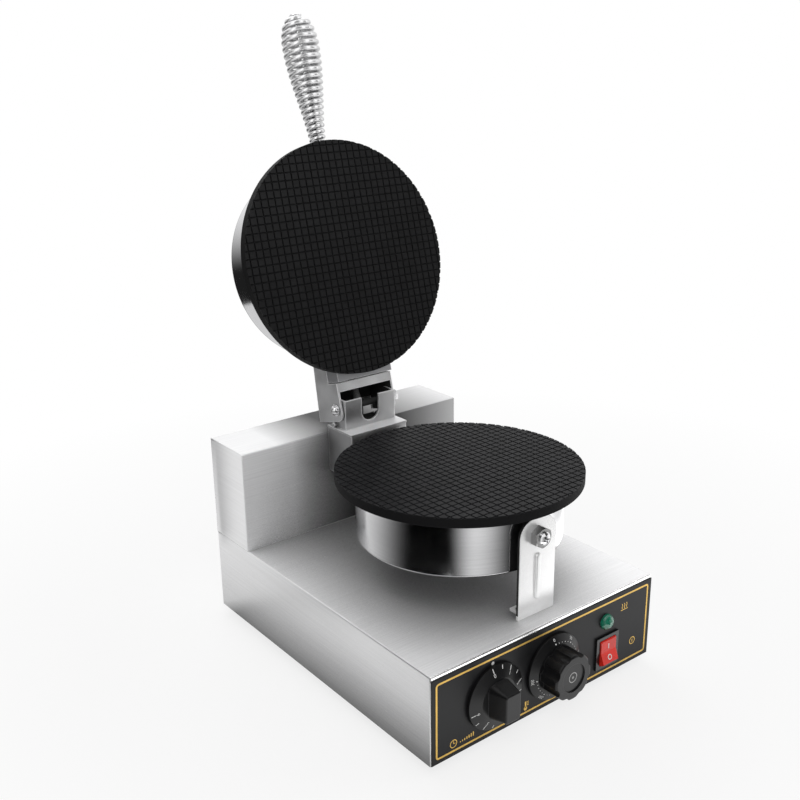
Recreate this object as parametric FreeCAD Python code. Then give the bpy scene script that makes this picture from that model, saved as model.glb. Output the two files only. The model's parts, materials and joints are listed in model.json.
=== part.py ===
import FreeCAD, Part
import bisect
import math
import os

# Waffle cone maker: folded steel base with a control panel, rear tower with a hinge, a fixed lower baking
# plate on a drum and a hinged upper baking plate in a like drum with a wound wire handle.
# Millimetres. X is to the right seen from the front, Y to the back, Z up. The origin lies on the table,
# under the middle of the base. The lid is drawn closed and then opened about the hinge line.

# Sheets and clearances
sheet = 1.2
hinge_sheet = 2.0
leg_sheet = 2.5
drum_sheet = 1.0
fold_radius = 1.2
fit = 0.05
seat_gap = 0.1
cover_gap = 0.3
side_gap = 0.5

# Base and feet
base_w = 250.0
base_h = 78.0
foot_h = 10.0
foot_r = 12.0
foot_taper = 2.0
foot_recess_r = 6.5
foot_recess_h = 5.0
foot_inset = 32.0
lip = 12.0

# Baking plates and drums
plate_r = 106.0
plate_t = 8.5
plate_gap = 1.0
grid_pitch = 7.0
groove_top = 1.5
groove_floor = 0.8
groove_depth = 1.1
boss_r = 12.0
boss_h = 10.0
drum_r = 89.0
drum_h = 51.5
drum_corner = 2.0
drum_lift = 40.0
pad_t = 16.0
heater_ring_r = 62.0
heater_r = 4.0
heater_gap_deg = 40.0
heater_stub = 14.0
plate_bolt_r = 4.0
plate_bolt_head = 13.0
plate_bolt_head_h = 5.5

# Front leg
leg_w = 40.0
leg_corner = 15.0
leg_above = 16.0
leg_screw_drop = 22.0
leg_inset = 16.5
leg_gap = 3.5
leg_foot = 14.0
leg_foot_w = 27.0
bead_r = 3.0
bead_low = 17.0
bead_high = 51.5
bead_out = 2.0
bead_round = 1.6
leg_screw_r = 3.0
leg_nut_across = 16.0
leg_nut_h = 6.5
leg_nut_chamfer = 1.0
leg_head_r = 5.5
leg_head_h = 3.6
leg_foot_screw_x = 8.5

# Hinge, measured from the lower plate and the hinge line
hinge_reach = 135.5
hinge_rise = 20.2
hinge_stand = 18.2
lid_open = 105.0
pivot_r = 3.0
pivot_head_r = 4.6
pivot_head_h = 4.5
washer_r = 5.6
washer_t = 1.0
nut_across = 10.0
nut_h = 4.5
bracket_half = 28.5
bracket_front = 10.3
bracket_back = 12.0
bracket_top = 9.8
notch_r = 9.8
notch_floor = 13.8
ledge_half = 32.3
ledge_overhang = 13.3
channel_h = 45.4
stop_r = 2.0
stop_up = 8.0
stop_out = 1.5
tower_setback = 14.0
tower_drop = 7.0
tower_d = 57.0

# Lid arm, measured from the hinge line with the lid closed
arm_below = 7.4
arm_tail = 11.5
arm_top_front = 26.0
arm_top_rear = 32.5
arm_step = 6.3
arm_corner = 8.0
rim_gap = 5.0
crossbar = 8.5
top_web_tail = 5.0
block_gap = 1.0

# Handle, measured with the lid closed
handle_rise = 8.7
rod_r = 2.2
rod_inside = 9.0
collar_r = 8.2
collar_h = 4.5
wire_d = 4.5
coil_length = 119.5
coil_turns = 21.75
coil_gap = 1.2
coil_root_r = 5.1
coil_bulb_r = 15.0
coil_tip_r = 7.0
coil_bulb_at = 96.0
coil_opening = 0.12
rod_head_r = 5.8
rod_head_h = 2.4

# Controls, measured from the middle of the panel and the bottom edge of the base
overlay_t = 0.8
overlay_edge = 0.6
overlay_top_edge = 3.4
timer_x = -62.0
thermostat_x = 2.8
knob_z = 37.0
bushing_r = 4.6
bushing_out = 4.0
bushing_nut_across = 13.0
bushing_nut_h = 2.2
shaft_r = 3.0
shaft_out = 14.0
shaft_in = 16.0
control_w = 38.0
control_h = 34.0
control_d = 30.0
knob_lift = 1.0
knob_recess_r = 8.5
knob_recess_h = 4.0
timer_dial_r = 28.0
thermostat_dial_r = 29.0
dial_rim = 2.0
dial_slope = 3.5
timer_hub_r = 17.5
timer_grip_w = 15.0
timer_grip_h = 24.0
timer_grip_root_w = 24.0
timer_grip_root_h = 33.0
timer_out = 22.5
grip_round = 1.2
thermostat_grip_r = 20.0
thermostat_out = 24.0
flutes = 8
flute_r = 6.0
flute_depth = 2.4
face_recess_r = 12.5
face_recess = 1.2
lamp_x = 66.8
lamp_z = 53.3
lamp_r = 6.0
lens_r = 7.0
lens_h = 6.5
lens_rim = 1.6
lamp_d = 24.0
switch_x = 68.5
switch_z = 25.2
switch_rim = 2.0
rim_proud = 2.0
rocker_w = 18.6
rocker_r = 11.8
rocker_pivot_in = 1.0
rocker_valley = 3.2
rocker_angle = 10.0
rocker_back = 5.0
rocker_pin_r = 1.5
rocker_pin = 1.2
switch_wall = 2.0
switch_depth = 22.0
cavity_depth = 9.0

# Wiring, inlet and small fasteners
block_w = 70.0
block_d = 18.0
block_h = 20.0
slot_w = 76.0
slot_d = 24.0
wire_r = 1.4
wire_bend = 9.0
sleeve_r = 3.4
sleeve_bend = 14.0
sensor_r = 1.1
bulb_r = 3.0
bulb_length = 42.0
bulb_gap = 2.0
pass_r = 11.0
gland_inset = 45.0
gland_z = 40.0
gland_r = 8.0
gland_flange_r = 12.0
gland_flange = 3.0
gland_nose = 9.0
gland_bore_r = 4.2
small_screw_r = 2.0
small_head_r = 3.8
small_head_h = 2.4
small_screw = 7.0
recess_reach = 0.55
recess_width = 0.14

V = FreeCAD.Vector
X, Y, Z = V(1, 0, 0), V(0, 1, 0), V(0, 0, 1)
O = V(0, 0, 0)

# Places that follow from the sizes
base_d = leg_inset + leg_sheet + leg_gap + drum_r + hinge_reach + tower_setback + tower_d
front = -base_d / 2
rear = base_d / 2
side = base_w / 2
base_top = foot_h + base_h
panel = front - overlay_t
leg_y = front + leg_inset
plate_y = leg_y + leg_sheet + leg_gap + drum_r
drum_bottom = base_top + drum_lift
plate_bottom = drum_bottom + drum_h
plate_top = plate_bottom + plate_t
lid_face = plate_top + plate_gap
lid_back = lid_face + plate_t
lid_top = lid_back + drum_h
hinge_y = plate_y + hinge_reach
hinge_z = plate_top + hinge_rise
ledge_top = hinge_z - hinge_stand
ledge_front = hinge_y - bracket_front - ledge_overhang
channel_half = bracket_half + side_gap + hinge_sheet + side_gap
channel_bottom = ledge_top - channel_h
tower_front = hinge_y + tower_setback
tower_top = ledge_top - tower_drop
arm_half = bracket_half + side_gap + hinge_sheet
arm_floor = hinge_z + arm_step
arm_front = plate_y + plate_r + rim_gap
handle_z = lid_back + handle_rise
leg_screw_z = plate_bottom - leg_screw_drop
timer_z = foot_h + knob_z
gland_x = side - gland_inset
pass_z = channel_bottom + channel_h / 2


def box(x0, x1, y0, y1, z0, z1):
    return Part.makeBox(x1 - x0, y1 - y0, z1 - z0, V(x0, y0, z0))


def bar(radius, start, direction, length):
    return Part.makeCylinder(radius, length, start, direction)


def ring(outer, inner, start, direction, length):
    return bar(outer, start, direction, length).cut(bar(inner, start, direction, length))


def hexagon(across, start, direction, length):
    corner = across / math.sqrt(3)
    points = [V(corner * math.cos(k * math.pi / 3), corner * math.sin(k * math.pi / 3), 0) for k in range(7)]
    return stand(Part.Face(Part.makePolygon(points)).extrude(V(0, 0, length)), start, direction)


def stand(shape, at, direction):
    """Turns a shape drawn upwards from the origin so that it stands along a direction, at a point."""
    shape = shape.copy()
    shape.Placement = FreeCAD.Placement(at, FreeCAD.Rotation(Z, direction)).multiply(shape.Placement)
    return shape


def turned(profile):
    """A solid of revolution about Z from a closed outline of (radius, height) points."""
    points = [V(r, 0, z) for r, z in profile]
    return Part.Face(Part.makePolygon(points + points[:1])).revolve(O, Z, 360)


def domed(radius, height, skirt):
    """A round head with a straight skirt and a domed top, standing on the origin."""
    rise = height - skirt
    ball = (radius ** 2 + rise ** 2) / (2 * rise)
    cap = Part.makeSphere(ball).common(Part.makeCylinder(radius, rise, V(0, 0, ball - rise)))
    cap.translate(V(0, 0, height - ball))
    return Part.makeCylinder(radius, skirt).fuse(cap).removeSplitter()


def cross_screw(at, direction, shank_r, length, head_r, head_h):
    """A domed screw with a cross recess. Its head stands on a point and its shank runs the other way."""
    head = domed(head_r, head_h, head_h / 3)
    arm, blade = head_r * recess_reach, head_r * recess_width
    depth = head_h / 2
    for a, b in ((arm, blade), (blade, arm)):
        head = head.cut(box(-a, a, -b, b, head_h - depth, head_h + depth))
    return stand(head.fuse(bar(shank_r, O, -Z, length)), at, direction)


def small_screw_at(at, direction):
    return cross_screw(at, direction, small_screw_r, small_screw, small_head_r, small_head_h)


def hex_nut(at, direction, across, height, bore_r):
    return hexagon(across, at, direction, height).cut(bar(bore_r, at, direction, height))


def path(points, bend):
    """Straight runs through points, joined by tangent arcs of one radius."""
    edges, last = [], points[0]
    for before, here, after in zip(points, points[1:], points[2:]):
        a, b = (here - before).normalize(), (after - here).normalize()
        half = a.getAngle(b) / 2
        reach = bend * math.tan(half)
        start, end = here - a * reach, here + b * reach
        middle = here + (b - a).normalize() * (bend / math.cos(half) - bend)
        edges += [Part.LineSegment(last, start).toShape(), Part.Arc(start, middle, end).toShape()]
        last = end
    return Part.Wire(edges + [Part.LineSegment(last, points[-1]).toShape()])


def tube(wire, radius):
    """A round tube along a wire."""
    first = wire.OrderedEdges[0]
    at, along = first.valueAt(first.FirstParameter), first.tangentAt(first.FirstParameter)
    return wire.makePipeShell([Part.Wire(Part.makeCircle(radius, at, along))], True, False)


def opened(shape):
    """Swings a piece of the closed lid to the open place."""
    shape = shape.copy()
    shape.rotate(V(0, hinge_y, hinge_z), X, -lid_open)
    return shape


def lid_point(y, z):
    """Where a point of the closed lid, measured from the hinge line, lies when the lid is open."""
    a = math.radians(lid_open)
    return V(0, hinge_y + y * math.cos(a) + z * math.sin(a), hinge_z - y * math.sin(a) + z * math.cos(a))


def flipped(shape):
    """Turns a lower piece over, so that it becomes the like piece of the closed lid."""
    shape = shape.copy()
    shape.rotate(V(0, plate_y, (plate_top + lid_face) / 2), X, 180)
    return shape


def drum_cut(z0, z1):
    """The room that the drum takes, with its seat gap."""
    return bar(drum_r + seat_gap, V(0, plate_y, z0), Z, z1 - z0)


def saddle(half, z0, z1, thickness):
    """A strip of sheet bent round the rear of a drum."""
    strip = ring(drum_r + seat_gap + thickness, drum_r + seat_gap, V(0, plate_y, z0), Z, z1 - z0)
    return strip.common(box(-half, half, plate_y, plate_y + drum_r + 2 * thickness, z0, z1))


# Base

def fastening_points():
    """Screws of the bottom plate along both sides, and of the feet."""
    along = [front + foot_inset + lip, 0, rear - foot_inset - lip]
    across = side - sheet - lip / 2
    return [V(s * across, y, foot_h) for s in (-1, 1) for y in along]


def foot_points():
    return [V(sx * (side - foot_inset), sy * (rear - foot_inset), 0) for sx in (-1, 1) for sy in (-1, 1)]


def tower_points():
    across = side - sheet - lip / 2
    return [V(s * across, y, base_top) for s in (-1, 1) for y in (tower_front + lip, rear - lip)]


def leg_foot_points():
    y = leg_y + leg_sheet + leg_foot / 2
    return [V(s * leg_foot_screw_x, y, base_top + leg_sheet) for s in (-1, 1)]


def panel_holes():
    """Tools for the holes in the front wall and the overlay."""
    start = panel - sheet
    length = overlay_t + 3 * sheet
    holes = [bar(bushing_r + seat_gap, V(x, start, timer_z), Y, length) for x in (timer_x, thermostat_x)]
    holes.append(bar(lamp_r + seat_gap, V(lamp_x, start, foot_h + lamp_z), Y, length))
    half_w, half_h = switch_halves()
    z = foot_h + switch_z
    w, h = half_w + seat_gap, half_h + seat_gap
    holes.append(box(switch_x - w, switch_x + w, start, start + length, z - h, z + h))
    return holes


def switch_halves():
    """Half width and half height of the switch body behind its rim."""
    half_w = rocker_w / 2 + cover_gap + switch_wall
    return half_w, rocker_r + cover_gap + switch_rim / 2


def base_shell():
    outer = box(-side, side, front, rear, foot_h, base_top)
    folds = [e for e in outer.Edges if e.CenterOfMass.z > foot_h + sheet]
    shell = outer.makeFillet(fold_radius, folds)
    inner = box(-side + sheet, side - sheet, front + sheet, rear - sheet, foot_h - sheet, base_top - sheet)
    shell = shell.cut(inner)
    low, high = foot_h + sheet, foot_h + 2 * sheet
    for s in (-1, 1):
        edges = sorted((s * (side - sheet), s * (side - sheet - lip)))
        shell = shell.fuse(box(edges[0], edges[1], front + sheet, rear - sheet, low, high))
    holes = panel_holes()
    holes += [bar(small_screw_r + fit, p - Z * small_screw, Z, 2 * small_screw) for p in tower_points()]
    holes += [bar(small_screw_r + fit, p - Z * small_screw, Z, small_screw) for p in leg_foot_points()]
    holes += [bar(small_screw_r + fit, p, Z, small_screw) for p in fastening_points()]
    y = tower_front + sheet
    holes.append(box(-slot_w / 2, slot_w / 2, y + sheet, y + slot_d, base_top - 2 * sheet, base_top + sheet))
    holes.append(bar(gland_r + fit, V(gland_x, rear - 2 * sheet, foot_h + gland_z), Y, 3 * sheet))
    return shell.cut(holes).removeSplitter()


def panel_overlay():
    high = base_top - overlay_top_edge
    x = side - overlay_edge
    return box(-x, x, panel, front, foot_h + overlay_edge, high).cut(panel_holes())


def bottom_plate():
    inside = sheet + cover_gap
    plate = box(-side + inside, side - inside, front + inside, rear - inside, foot_h, foot_h + sheet)
    holes = [bar(small_screw_r + fit, p, Z, sheet) for p in fastening_points()]
    holes += [bar(small_screw_r + fit, p, Z, base_h) for p in foot_points()]
    return plate.cut(holes)


def rubber_feet():
    top, low = foot_r, foot_r - foot_taper
    profile = [(small_screw_r + fit, foot_recess_h), (foot_recess_r, foot_recess_h), (foot_recess_r, 0),
               (low, 0), (top, foot_h), (small_screw_r + fit, foot_h)]
    foot = turned(profile)
    return [stand(foot, p, Z) for p in foot_points()]


def foot_screws():
    length = foot_h - foot_recess_h + sheet + nut_h
    return [cross_screw(p + Z * foot_recess_h, -Z, small_screw_r, length, small_head_r, small_head_h)
            for p in foot_points()]


def foot_nuts():
    across = 2 * small_head_r
    return [hex_nut(p + Z * (foot_h + sheet), Z, across, nut_h, small_screw_r + fit) for p in foot_points()]


def bottom_screws():
    return [small_screw_at(p, -Z) for p in fastening_points()]


# Tower

def cover_points():
    x = side - sheet - lip / 2
    z = (base_top + sheet + lip, tower_top - sheet - lip / 2)
    return [V(s * x, rear, k) for s in (-1, 1) for k in z]


def tower_shell():
    outer = box(-side, side, tower_front, rear, base_top, tower_top)
    upper = [e for e in outer.Edges if e.CenterOfMass.z > base_top + sheet]
    shell = outer.makeFillet(fold_radius, [e for e in upper if e.CenterOfMass.y < rear - sheet])
    inside = side - sheet
    shell = shell.cut(box(-inside, inside, tower_front + sheet, rear, base_top, tower_top - sheet))
    lips = []
    for s in (-1, 1):
        x0, x1 = sorted((s * (side - sheet), s * (side - sheet - lip)))
        lips.append(box(x0, x1, tower_front + sheet, rear - sheet, base_top, base_top + sheet))
        lips.append(box(x0, x1, rear - 2 * sheet, rear - sheet, base_top, tower_top - sheet))
    holes = [bar(small_screw_r + fit, p - Z * sheet, Z, 3 * sheet) for p in tower_points()]
    holes += [bar(small_screw_r + fit, p - Y * small_screw, Y, small_screw) for p in cover_points()]
    holes += [bar(small_screw_r + fit, p - Y * sheet, Y, 4 * sheet) for p in bracket_points()]
    holes.append(bar(pass_r, V(0, tower_front - sheet, pass_z), Y, 3 * sheet))
    return shell.fuse(lips).cut(holes).removeSplitter()


def rear_cover():
    inside = side - sheet - cover_gap
    plate = box(-inside, inside, rear - sheet, rear, base_top + cover_gap, tower_top - sheet - cover_gap)
    return plate.cut([bar(small_screw_r + fit, p - Y * sheet, Y, sheet) for p in cover_points()])


def cover_screws():
    return [small_screw_at(p, Y) for p in cover_points()]


def tower_screws():
    return [small_screw_at(p + Z * sheet, Z) for p in tower_points()]


def cord_gland():
    at = V(gland_x, rear, foot_h + gland_z)
    profile = [(gland_bore_r, -2 * gland_flange), (gland_r, -2 * gland_flange), (gland_r, 0),
               (gland_flange_r, 0), (gland_flange_r, gland_flange), (gland_r, gland_flange),
               (gland_r - gland_flange / 2, gland_nose), (gland_bore_r, gland_nose)]
    body = stand(turned(profile), at, Y)
    return body


def terminal_block():
    y = rear - 2 * sheet - block_d
    body = box(-block_w / 2, block_w / 2, y, y + block_d, base_top, base_top + block_h)
    wells = []
    for x in wire_places():
        wells.append(bar(2 * wire_r, V(x, y + block_d / 2, base_top + block_h / 2), Z, block_h))
        wells.append(bar(wire_r + seat_gap, V(x, y, base_top + block_h / 3), Y, block_d / 2))
    return body.cut(wells)


def wire_places():
    count = 6
    step = block_w / count
    return [(k - (count - 1) / 2) * step for k in range(count)]


# Lower baking plate

def baking_plate():
    """Grooved disc with a threaded boss below, drawn where the lower plate lies."""
    disc = bar(plate_r, V(0, plate_y, plate_bottom), Z, plate_t)
    places = []
    x = grid_pitch / 2
    while x < plate_r - groove_top:
        places += [-x, x]
        x += grid_pitch
    along_y, along_x = [], []
    reach = plate_r + groove_top
    brim, floor = groove_top - groove_floor / 2, groove_floor / 2
    outline = [(brim, groove_depth), (floor, -groove_depth), (-floor, -groove_depth), (-brim, groove_depth)]
    for place in places:
        points = [V(place + x, -reach, z) for x, z in outline]
        prism = Part.Face(Part.makePolygon(points + points[:1])).extrude(Y * (2 * reach))
        along_y.append(stand(prism, V(0, plate_y, plate_top), Z))
        prism.rotate(O, Z, 90)
        along_x.append(stand(prism, V(0, plate_y, plate_top), Z))
    disc = disc.cut(along_y).cut(along_x)
    boss = bar(boss_r, V(0, plate_y, plate_bottom - boss_h), Z, boss_h)
    hole = bar(plate_bolt_r + fit, V(0, plate_y, plate_bottom - boss_h), Z, boss_h + plate_t / 2)
    return disc.fuse(boss).cut(hole)


def drum():
    """Deep-drawn can, open towards the plate, drawn where the lower drum lies."""
    can = bar(drum_r, V(0, plate_y, drum_bottom), Z, drum_h)
    can = can.makeFillet(drum_corner, [e for e in can.Edges if e.CenterOfMass.z < drum_bottom + sheet])
    room = bar(drum_r - drum_sheet, V(0, plate_y, drum_bottom + drum_sheet), Z, drum_h)
    low = [e for e in room.Edges if e.CenterOfMass.z < drum_bottom + 2 * drum_sheet]
    room = room.makeFillet(drum_corner - drum_sheet, low)
    return can.cut(room).cut(bar(plate_bolt_r + fit, V(0, plate_y, drum_bottom - sheet), Z, 3 * sheet))


def lower_drum():
    holes = [bar(leg_screw_r + fit, V(0, leg_y, leg_screw_z), Y, leg_inset + leg_gap)]
    rear_wall = plate_y + drum_r
    inside = rear_wall - drum_r / 4
    holes += [bar(small_screw_r + fit, V(p.x, inside, p.z), Y, drum_r) for p in saddle_points()]
    holes.append(bar(pass_r, V(0, inside, pass_z), Y, drum_r))
    return drum().cut(holes)


def heater():
    """Ring element under the plate with two stubs, open to the rear, drawn where the lower one lies."""
    z = plate_bottom - heater_r - fit
    gap = heater_gap_deg
    element = Part.makeTorus(heater_ring_r, heater_r, O, Z, -180, 180, 360 - gap)
    element.rotate(O, Z, 90 + gap / 2)
    for s in (-1, 1):
        a = math.radians(90 + s * gap / 2)
        end = V(heater_ring_r * math.cos(a), heater_ring_r * math.sin(a), 0)
        knee = Part.makeSphere(heater_r, end)
        element = element.fuse([knee, bar(heater_r, end, -Z, heater_stub)])
    element.translate(V(0, plate_y, z))
    return element.removeSplitter()


def heater_ends():
    a = math.radians(90 - heater_gap_deg / 2)
    x, y = heater_ring_r * math.cos(a), plate_y + heater_ring_r * math.sin(a)
    z = plate_bottom - heater_r - fit - heater_stub
    return [V(s * x, y, z) for s in (-1, 1)]


def insulation():
    start = V(0, plate_y, drum_bottom + drum_sheet)
    pad = bar(drum_r - drum_corner - side_gap, start, Z, pad_t)
    return pad.cut(bar(plate_bolt_r + cover_gap, start, Z, pad_t))


def drum_bolt():
    at = V(0, plate_y, drum_bottom)
    head = hexagon(plate_bolt_head, at, -Z, plate_bolt_head_h)
    return head.fuse(bar(plate_bolt_r, at, Z, drum_h))


# Front leg

def front_leg():
    half = leg_w / 2
    top = leg_screw_z + leg_above
    strap = box(-half, half, leg_y, leg_y + leg_sheet, base_top, top)
    corners = [e for e in strap.Edges if e.CenterOfMass.z > top - fit and abs(e.CenterOfMass.x) > half - fit]
    strap = strap.makeFillet(leg_corner, corners)
    half = leg_foot_w / 2
    foot = box(-half, half, leg_y, leg_y + leg_sheet + leg_foot, base_top, base_top + leg_sheet)
    low, high = base_top + bead_low, base_top + bead_high
    face = leg_y - bead_out
    bead = box(-bead_r, bead_r, face, leg_y, low, high)
    bead = bead.fuse([bar(bead_r, V(0, face, z), Y, bead_out) for z in (low, high)]).removeSplitter()
    bead = bead.makeFillet(bead_round, [e for e in bead.Edges if e.BoundBox.YMax < face + fit])
    leg = strap.fuse([foot, bead]).removeSplitter()
    holes = [bar(small_screw_r + fit, p - Z * leg_sheet, Z, leg_sheet) for p in leg_foot_points()]
    holes.append(bar(leg_screw_r + fit, V(0, leg_y, leg_screw_z), Y, leg_sheet))
    return leg.cut(holes)


def leg_screw():
    at = V(0, leg_y - leg_nut_h, leg_screw_z)
    length = leg_nut_h + leg_sheet + leg_gap + drum_sheet + nut_h
    return cross_screw(at, -Y, leg_screw_r, length, leg_head_r, leg_head_h)


def leg_nut():
    """A nut with a corner at the top and its outer corners turned off."""
    at = V(0, leg_y, leg_screw_z)
    nut = hex_nut(at, -Y, leg_nut_across, leg_nut_h, leg_screw_r + fit)
    nut.rotate(at, Y, 30)
    corner, flat = leg_nut_across / math.sqrt(3), leg_nut_across / 2
    shoulder = leg_nut_h - leg_nut_chamfer
    blank = turned([(0, 0), (corner, 0), (corner, shoulder), (flat, leg_nut_h), (0, leg_nut_h)])
    return nut.common(stand(blank, at, -Y))


def leg_spacer():
    at = V(0, leg_y + leg_sheet, leg_screw_z)
    spacer = ring(leg_nut_across / 2, leg_screw_r + fit, at, Y, leg_gap + drum_sheet)
    return spacer.cut(drum_cut(drum_bottom, plate_bottom))


def leg_inner_nut():
    wall = plate_y - drum_r + drum_sheet
    nut = hex_nut(V(0, wall, leg_screw_z), Y, nut_across, nut_h, leg_screw_r + fit)
    return nut.common(bar(drum_r - drum_sheet - seat_gap, V(0, plate_y, drum_bottom), Z, drum_h))


def leg_foot_screws():
    return [small_screw_at(p, Z) for p in leg_foot_points()]


# Rear channel and hinge bracket

def saddle_points():
    """Screws that hold the channel to the lower drum, above and below the wire passage."""
    return [V(s * (channel_half - lip), 0, pass_z) for s in (-1, 1)]


def bracket_points():
    """Screws that hold the channel to the tower."""
    x = channel_half - hinge_sheet - lip / 2
    z = (channel_bottom + lip / 2, tower_top - lip)
    return [V(s * x, tower_front, k) for s in (-1, 1) for k in z]


def hinge_points():
    """Screws that hold the hinge bracket down on the ledge."""
    x = bracket_half - hinge_sheet - lip / 2
    return [V(s * x, hinge_y + bracket_back - lip / 2, ledge_top + hinge_sheet) for s in (-1, 1)]


def sleeve_hole(z0, z1):
    return bar(sleeve_r + side_gap, V(0, sleeve_y, z0), Z, z1 - z0)


sleeve_y = hinge_y + pivot_r + side_gap + sleeve_r


def rear_channel():
    under = ledge_top - hinge_sheet
    low = plate_bottom - plate_gap
    walls = []
    for s in (-1, 1):
        x0, x1 = sorted((s * channel_half, s * (channel_half - hinge_sheet)))
        walls.append(box(x0, x1, plate_y, tower_front, channel_bottom, low))
        walls.append(box(x0, x1, ledge_front, tower_front, low, under))
    walls = walls[0].fuse(walls[1:]).cut(drum_cut(channel_bottom, ledge_top))
    inner = channel_half - hinge_sheet
    ledge = box(-ledge_half, ledge_half, ledge_front, tower_front, under, ledge_top)
    back = box(-inner, inner, tower_front - hinge_sheet, tower_front, channel_bottom, under)
    lip_strip = box(-inner, inner, ledge_front, ledge_front + hinge_sheet, low, under)
    front_strip = saddle(channel_half, channel_bottom, low, hinge_sheet)
    channel = walls.fuse([ledge, back, lip_strip, front_strip])
    holes = [bar(small_screw_r + fit, p - Y * small_screw, Y, small_screw) for p in bracket_points()]
    reach = hinge_reach - bracket_front
    holes += [bar(small_screw_r + fit, V(p.x, plate_y, p.z), Y, reach) for p in saddle_points()]
    holes += [bar(small_screw_r + fit, p - Z * small_screw, Z, small_screw) for p in hinge_points()]
    holes.append(bar(pass_r, V(0, tower_front - 2 * hinge_sheet, pass_z), Y, 3 * hinge_sheet))
    holes.append(bar(pass_r, V(0, plate_y + drum_r - drum_r / 4, pass_z), Y, drum_r / 3))
    holes.append(sleeve_hole(under - sheet, ledge_top + sheet))
    return channel.cut(holes).removeSplitter()


def channel_screws():
    """Screws of the channel at the tower, and at the drum."""
    at_tower = [small_screw_at(p - Y * hinge_sheet, -Y) for p in bracket_points()]
    y = plate_y + math.sqrt((drum_r + seat_gap + hinge_sheet) ** 2 - (channel_half - lip - small_head_r) ** 2)
    return at_tower + [small_screw_at(V(p.x, y, p.z), Y) for p in saddle_points()]


def hinge_bracket():
    face = hinge_y - bracket_front
    back = hinge_y + bracket_back
    top = hinge_z + bracket_top
    inner = bracket_half - hinge_sheet
    plate = box(-bracket_half, bracket_half, face, face + hinge_sheet, ledge_top, top)
    round_z = hinge_z - notch_floor + notch_r
    notch = box(-notch_r, notch_r, face, face + hinge_sheet, round_z, top)
    notch = notch.fuse(bar(notch_r, V(0, face, round_z), Y, hinge_sheet))
    parts = [box(-inner, inner, face + hinge_sheet, back, ledge_top, ledge_top + hinge_sheet)]
    for s in (-1, 1):
        x0, x1 = sorted((s * inner, s * bracket_half))
        cheek = box(x0, x1, face + hinge_sheet, back, ledge_top, top)
        upper = [e for e in cheek.Edges if e.CenterOfMass.z > top - sheet]
        parts.append(cheek.makeFillet(bracket_top, [e for e in upper if e.CenterOfMass.y > back - sheet]))
    bracket = plate.cut(notch).fuse(parts)
    holes = [bar(small_screw_r + fit, p - Z * hinge_sheet, Z, hinge_sheet) for p in hinge_points()]
    holes.append(bar(pivot_r + fit, V(-bracket_half, hinge_y, hinge_z), X, 2 * bracket_half))
    holes.append(bar(stop_r + fit, V(-bracket_half, stop_at.y, stop_at.z), X, 2 * bracket_half))
    holes.append(sleeve_hole(ledge_top - sheet, ledge_top + 2 * hinge_sheet))
    return bracket.cut(holes).removeSplitter()


stop_at = lid_point(arm_tail + stop_r + cover_gap, stop_up)


def hinge_screws():
    return [small_screw_at(p, Z) for p in hinge_points()]


def both_sides(make):
    """The same small piece on the left and on the right of the hinge."""
    return [make(s, X * s) for s in (-1, 1)]


def pivot_end():
    """Outer face of the washers, where the head and the nut of the hinge bolt sit."""
    return arm_half + side_gap + washer_t


def pivot_bolt():
    """One long bolt through both cheeks, on the hinge line, with its head on the left."""
    at = V(-pivot_end(), hinge_y, hinge_z)
    return cross_screw(at, -X, pivot_r, 2 * pivot_end() + nut_h, pivot_head_r, pivot_head_h)


def pivot_washers():
    return both_sides(lambda s, out: ring(
        washer_r, pivot_r + fit, V(s * (arm_half + side_gap), hinge_y, hinge_z), out, washer_t))


def pivot_nut():
    return hex_nut(V(pivot_end(), hinge_y, hinge_z), X, nut_across, nut_h, pivot_r + fit)


def stop_pins():
    start = bracket_half - hinge_sheet
    length = hinge_sheet + side_gap + hinge_sheet + stop_out
    return both_sides(lambda s, out: bar(stop_r, V(s * start, stop_at.y, stop_at.z), out, length))


# Lid, drawn closed

def arm_top(y):
    """Height of the arm's sloping top edge at a place along it."""
    share = (y - plate_y - drum_r) / (hinge_y + arm_tail - plate_y - drum_r)
    return hinge_z + arm_top_front + (arm_top_rear - arm_top_front) * share


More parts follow.
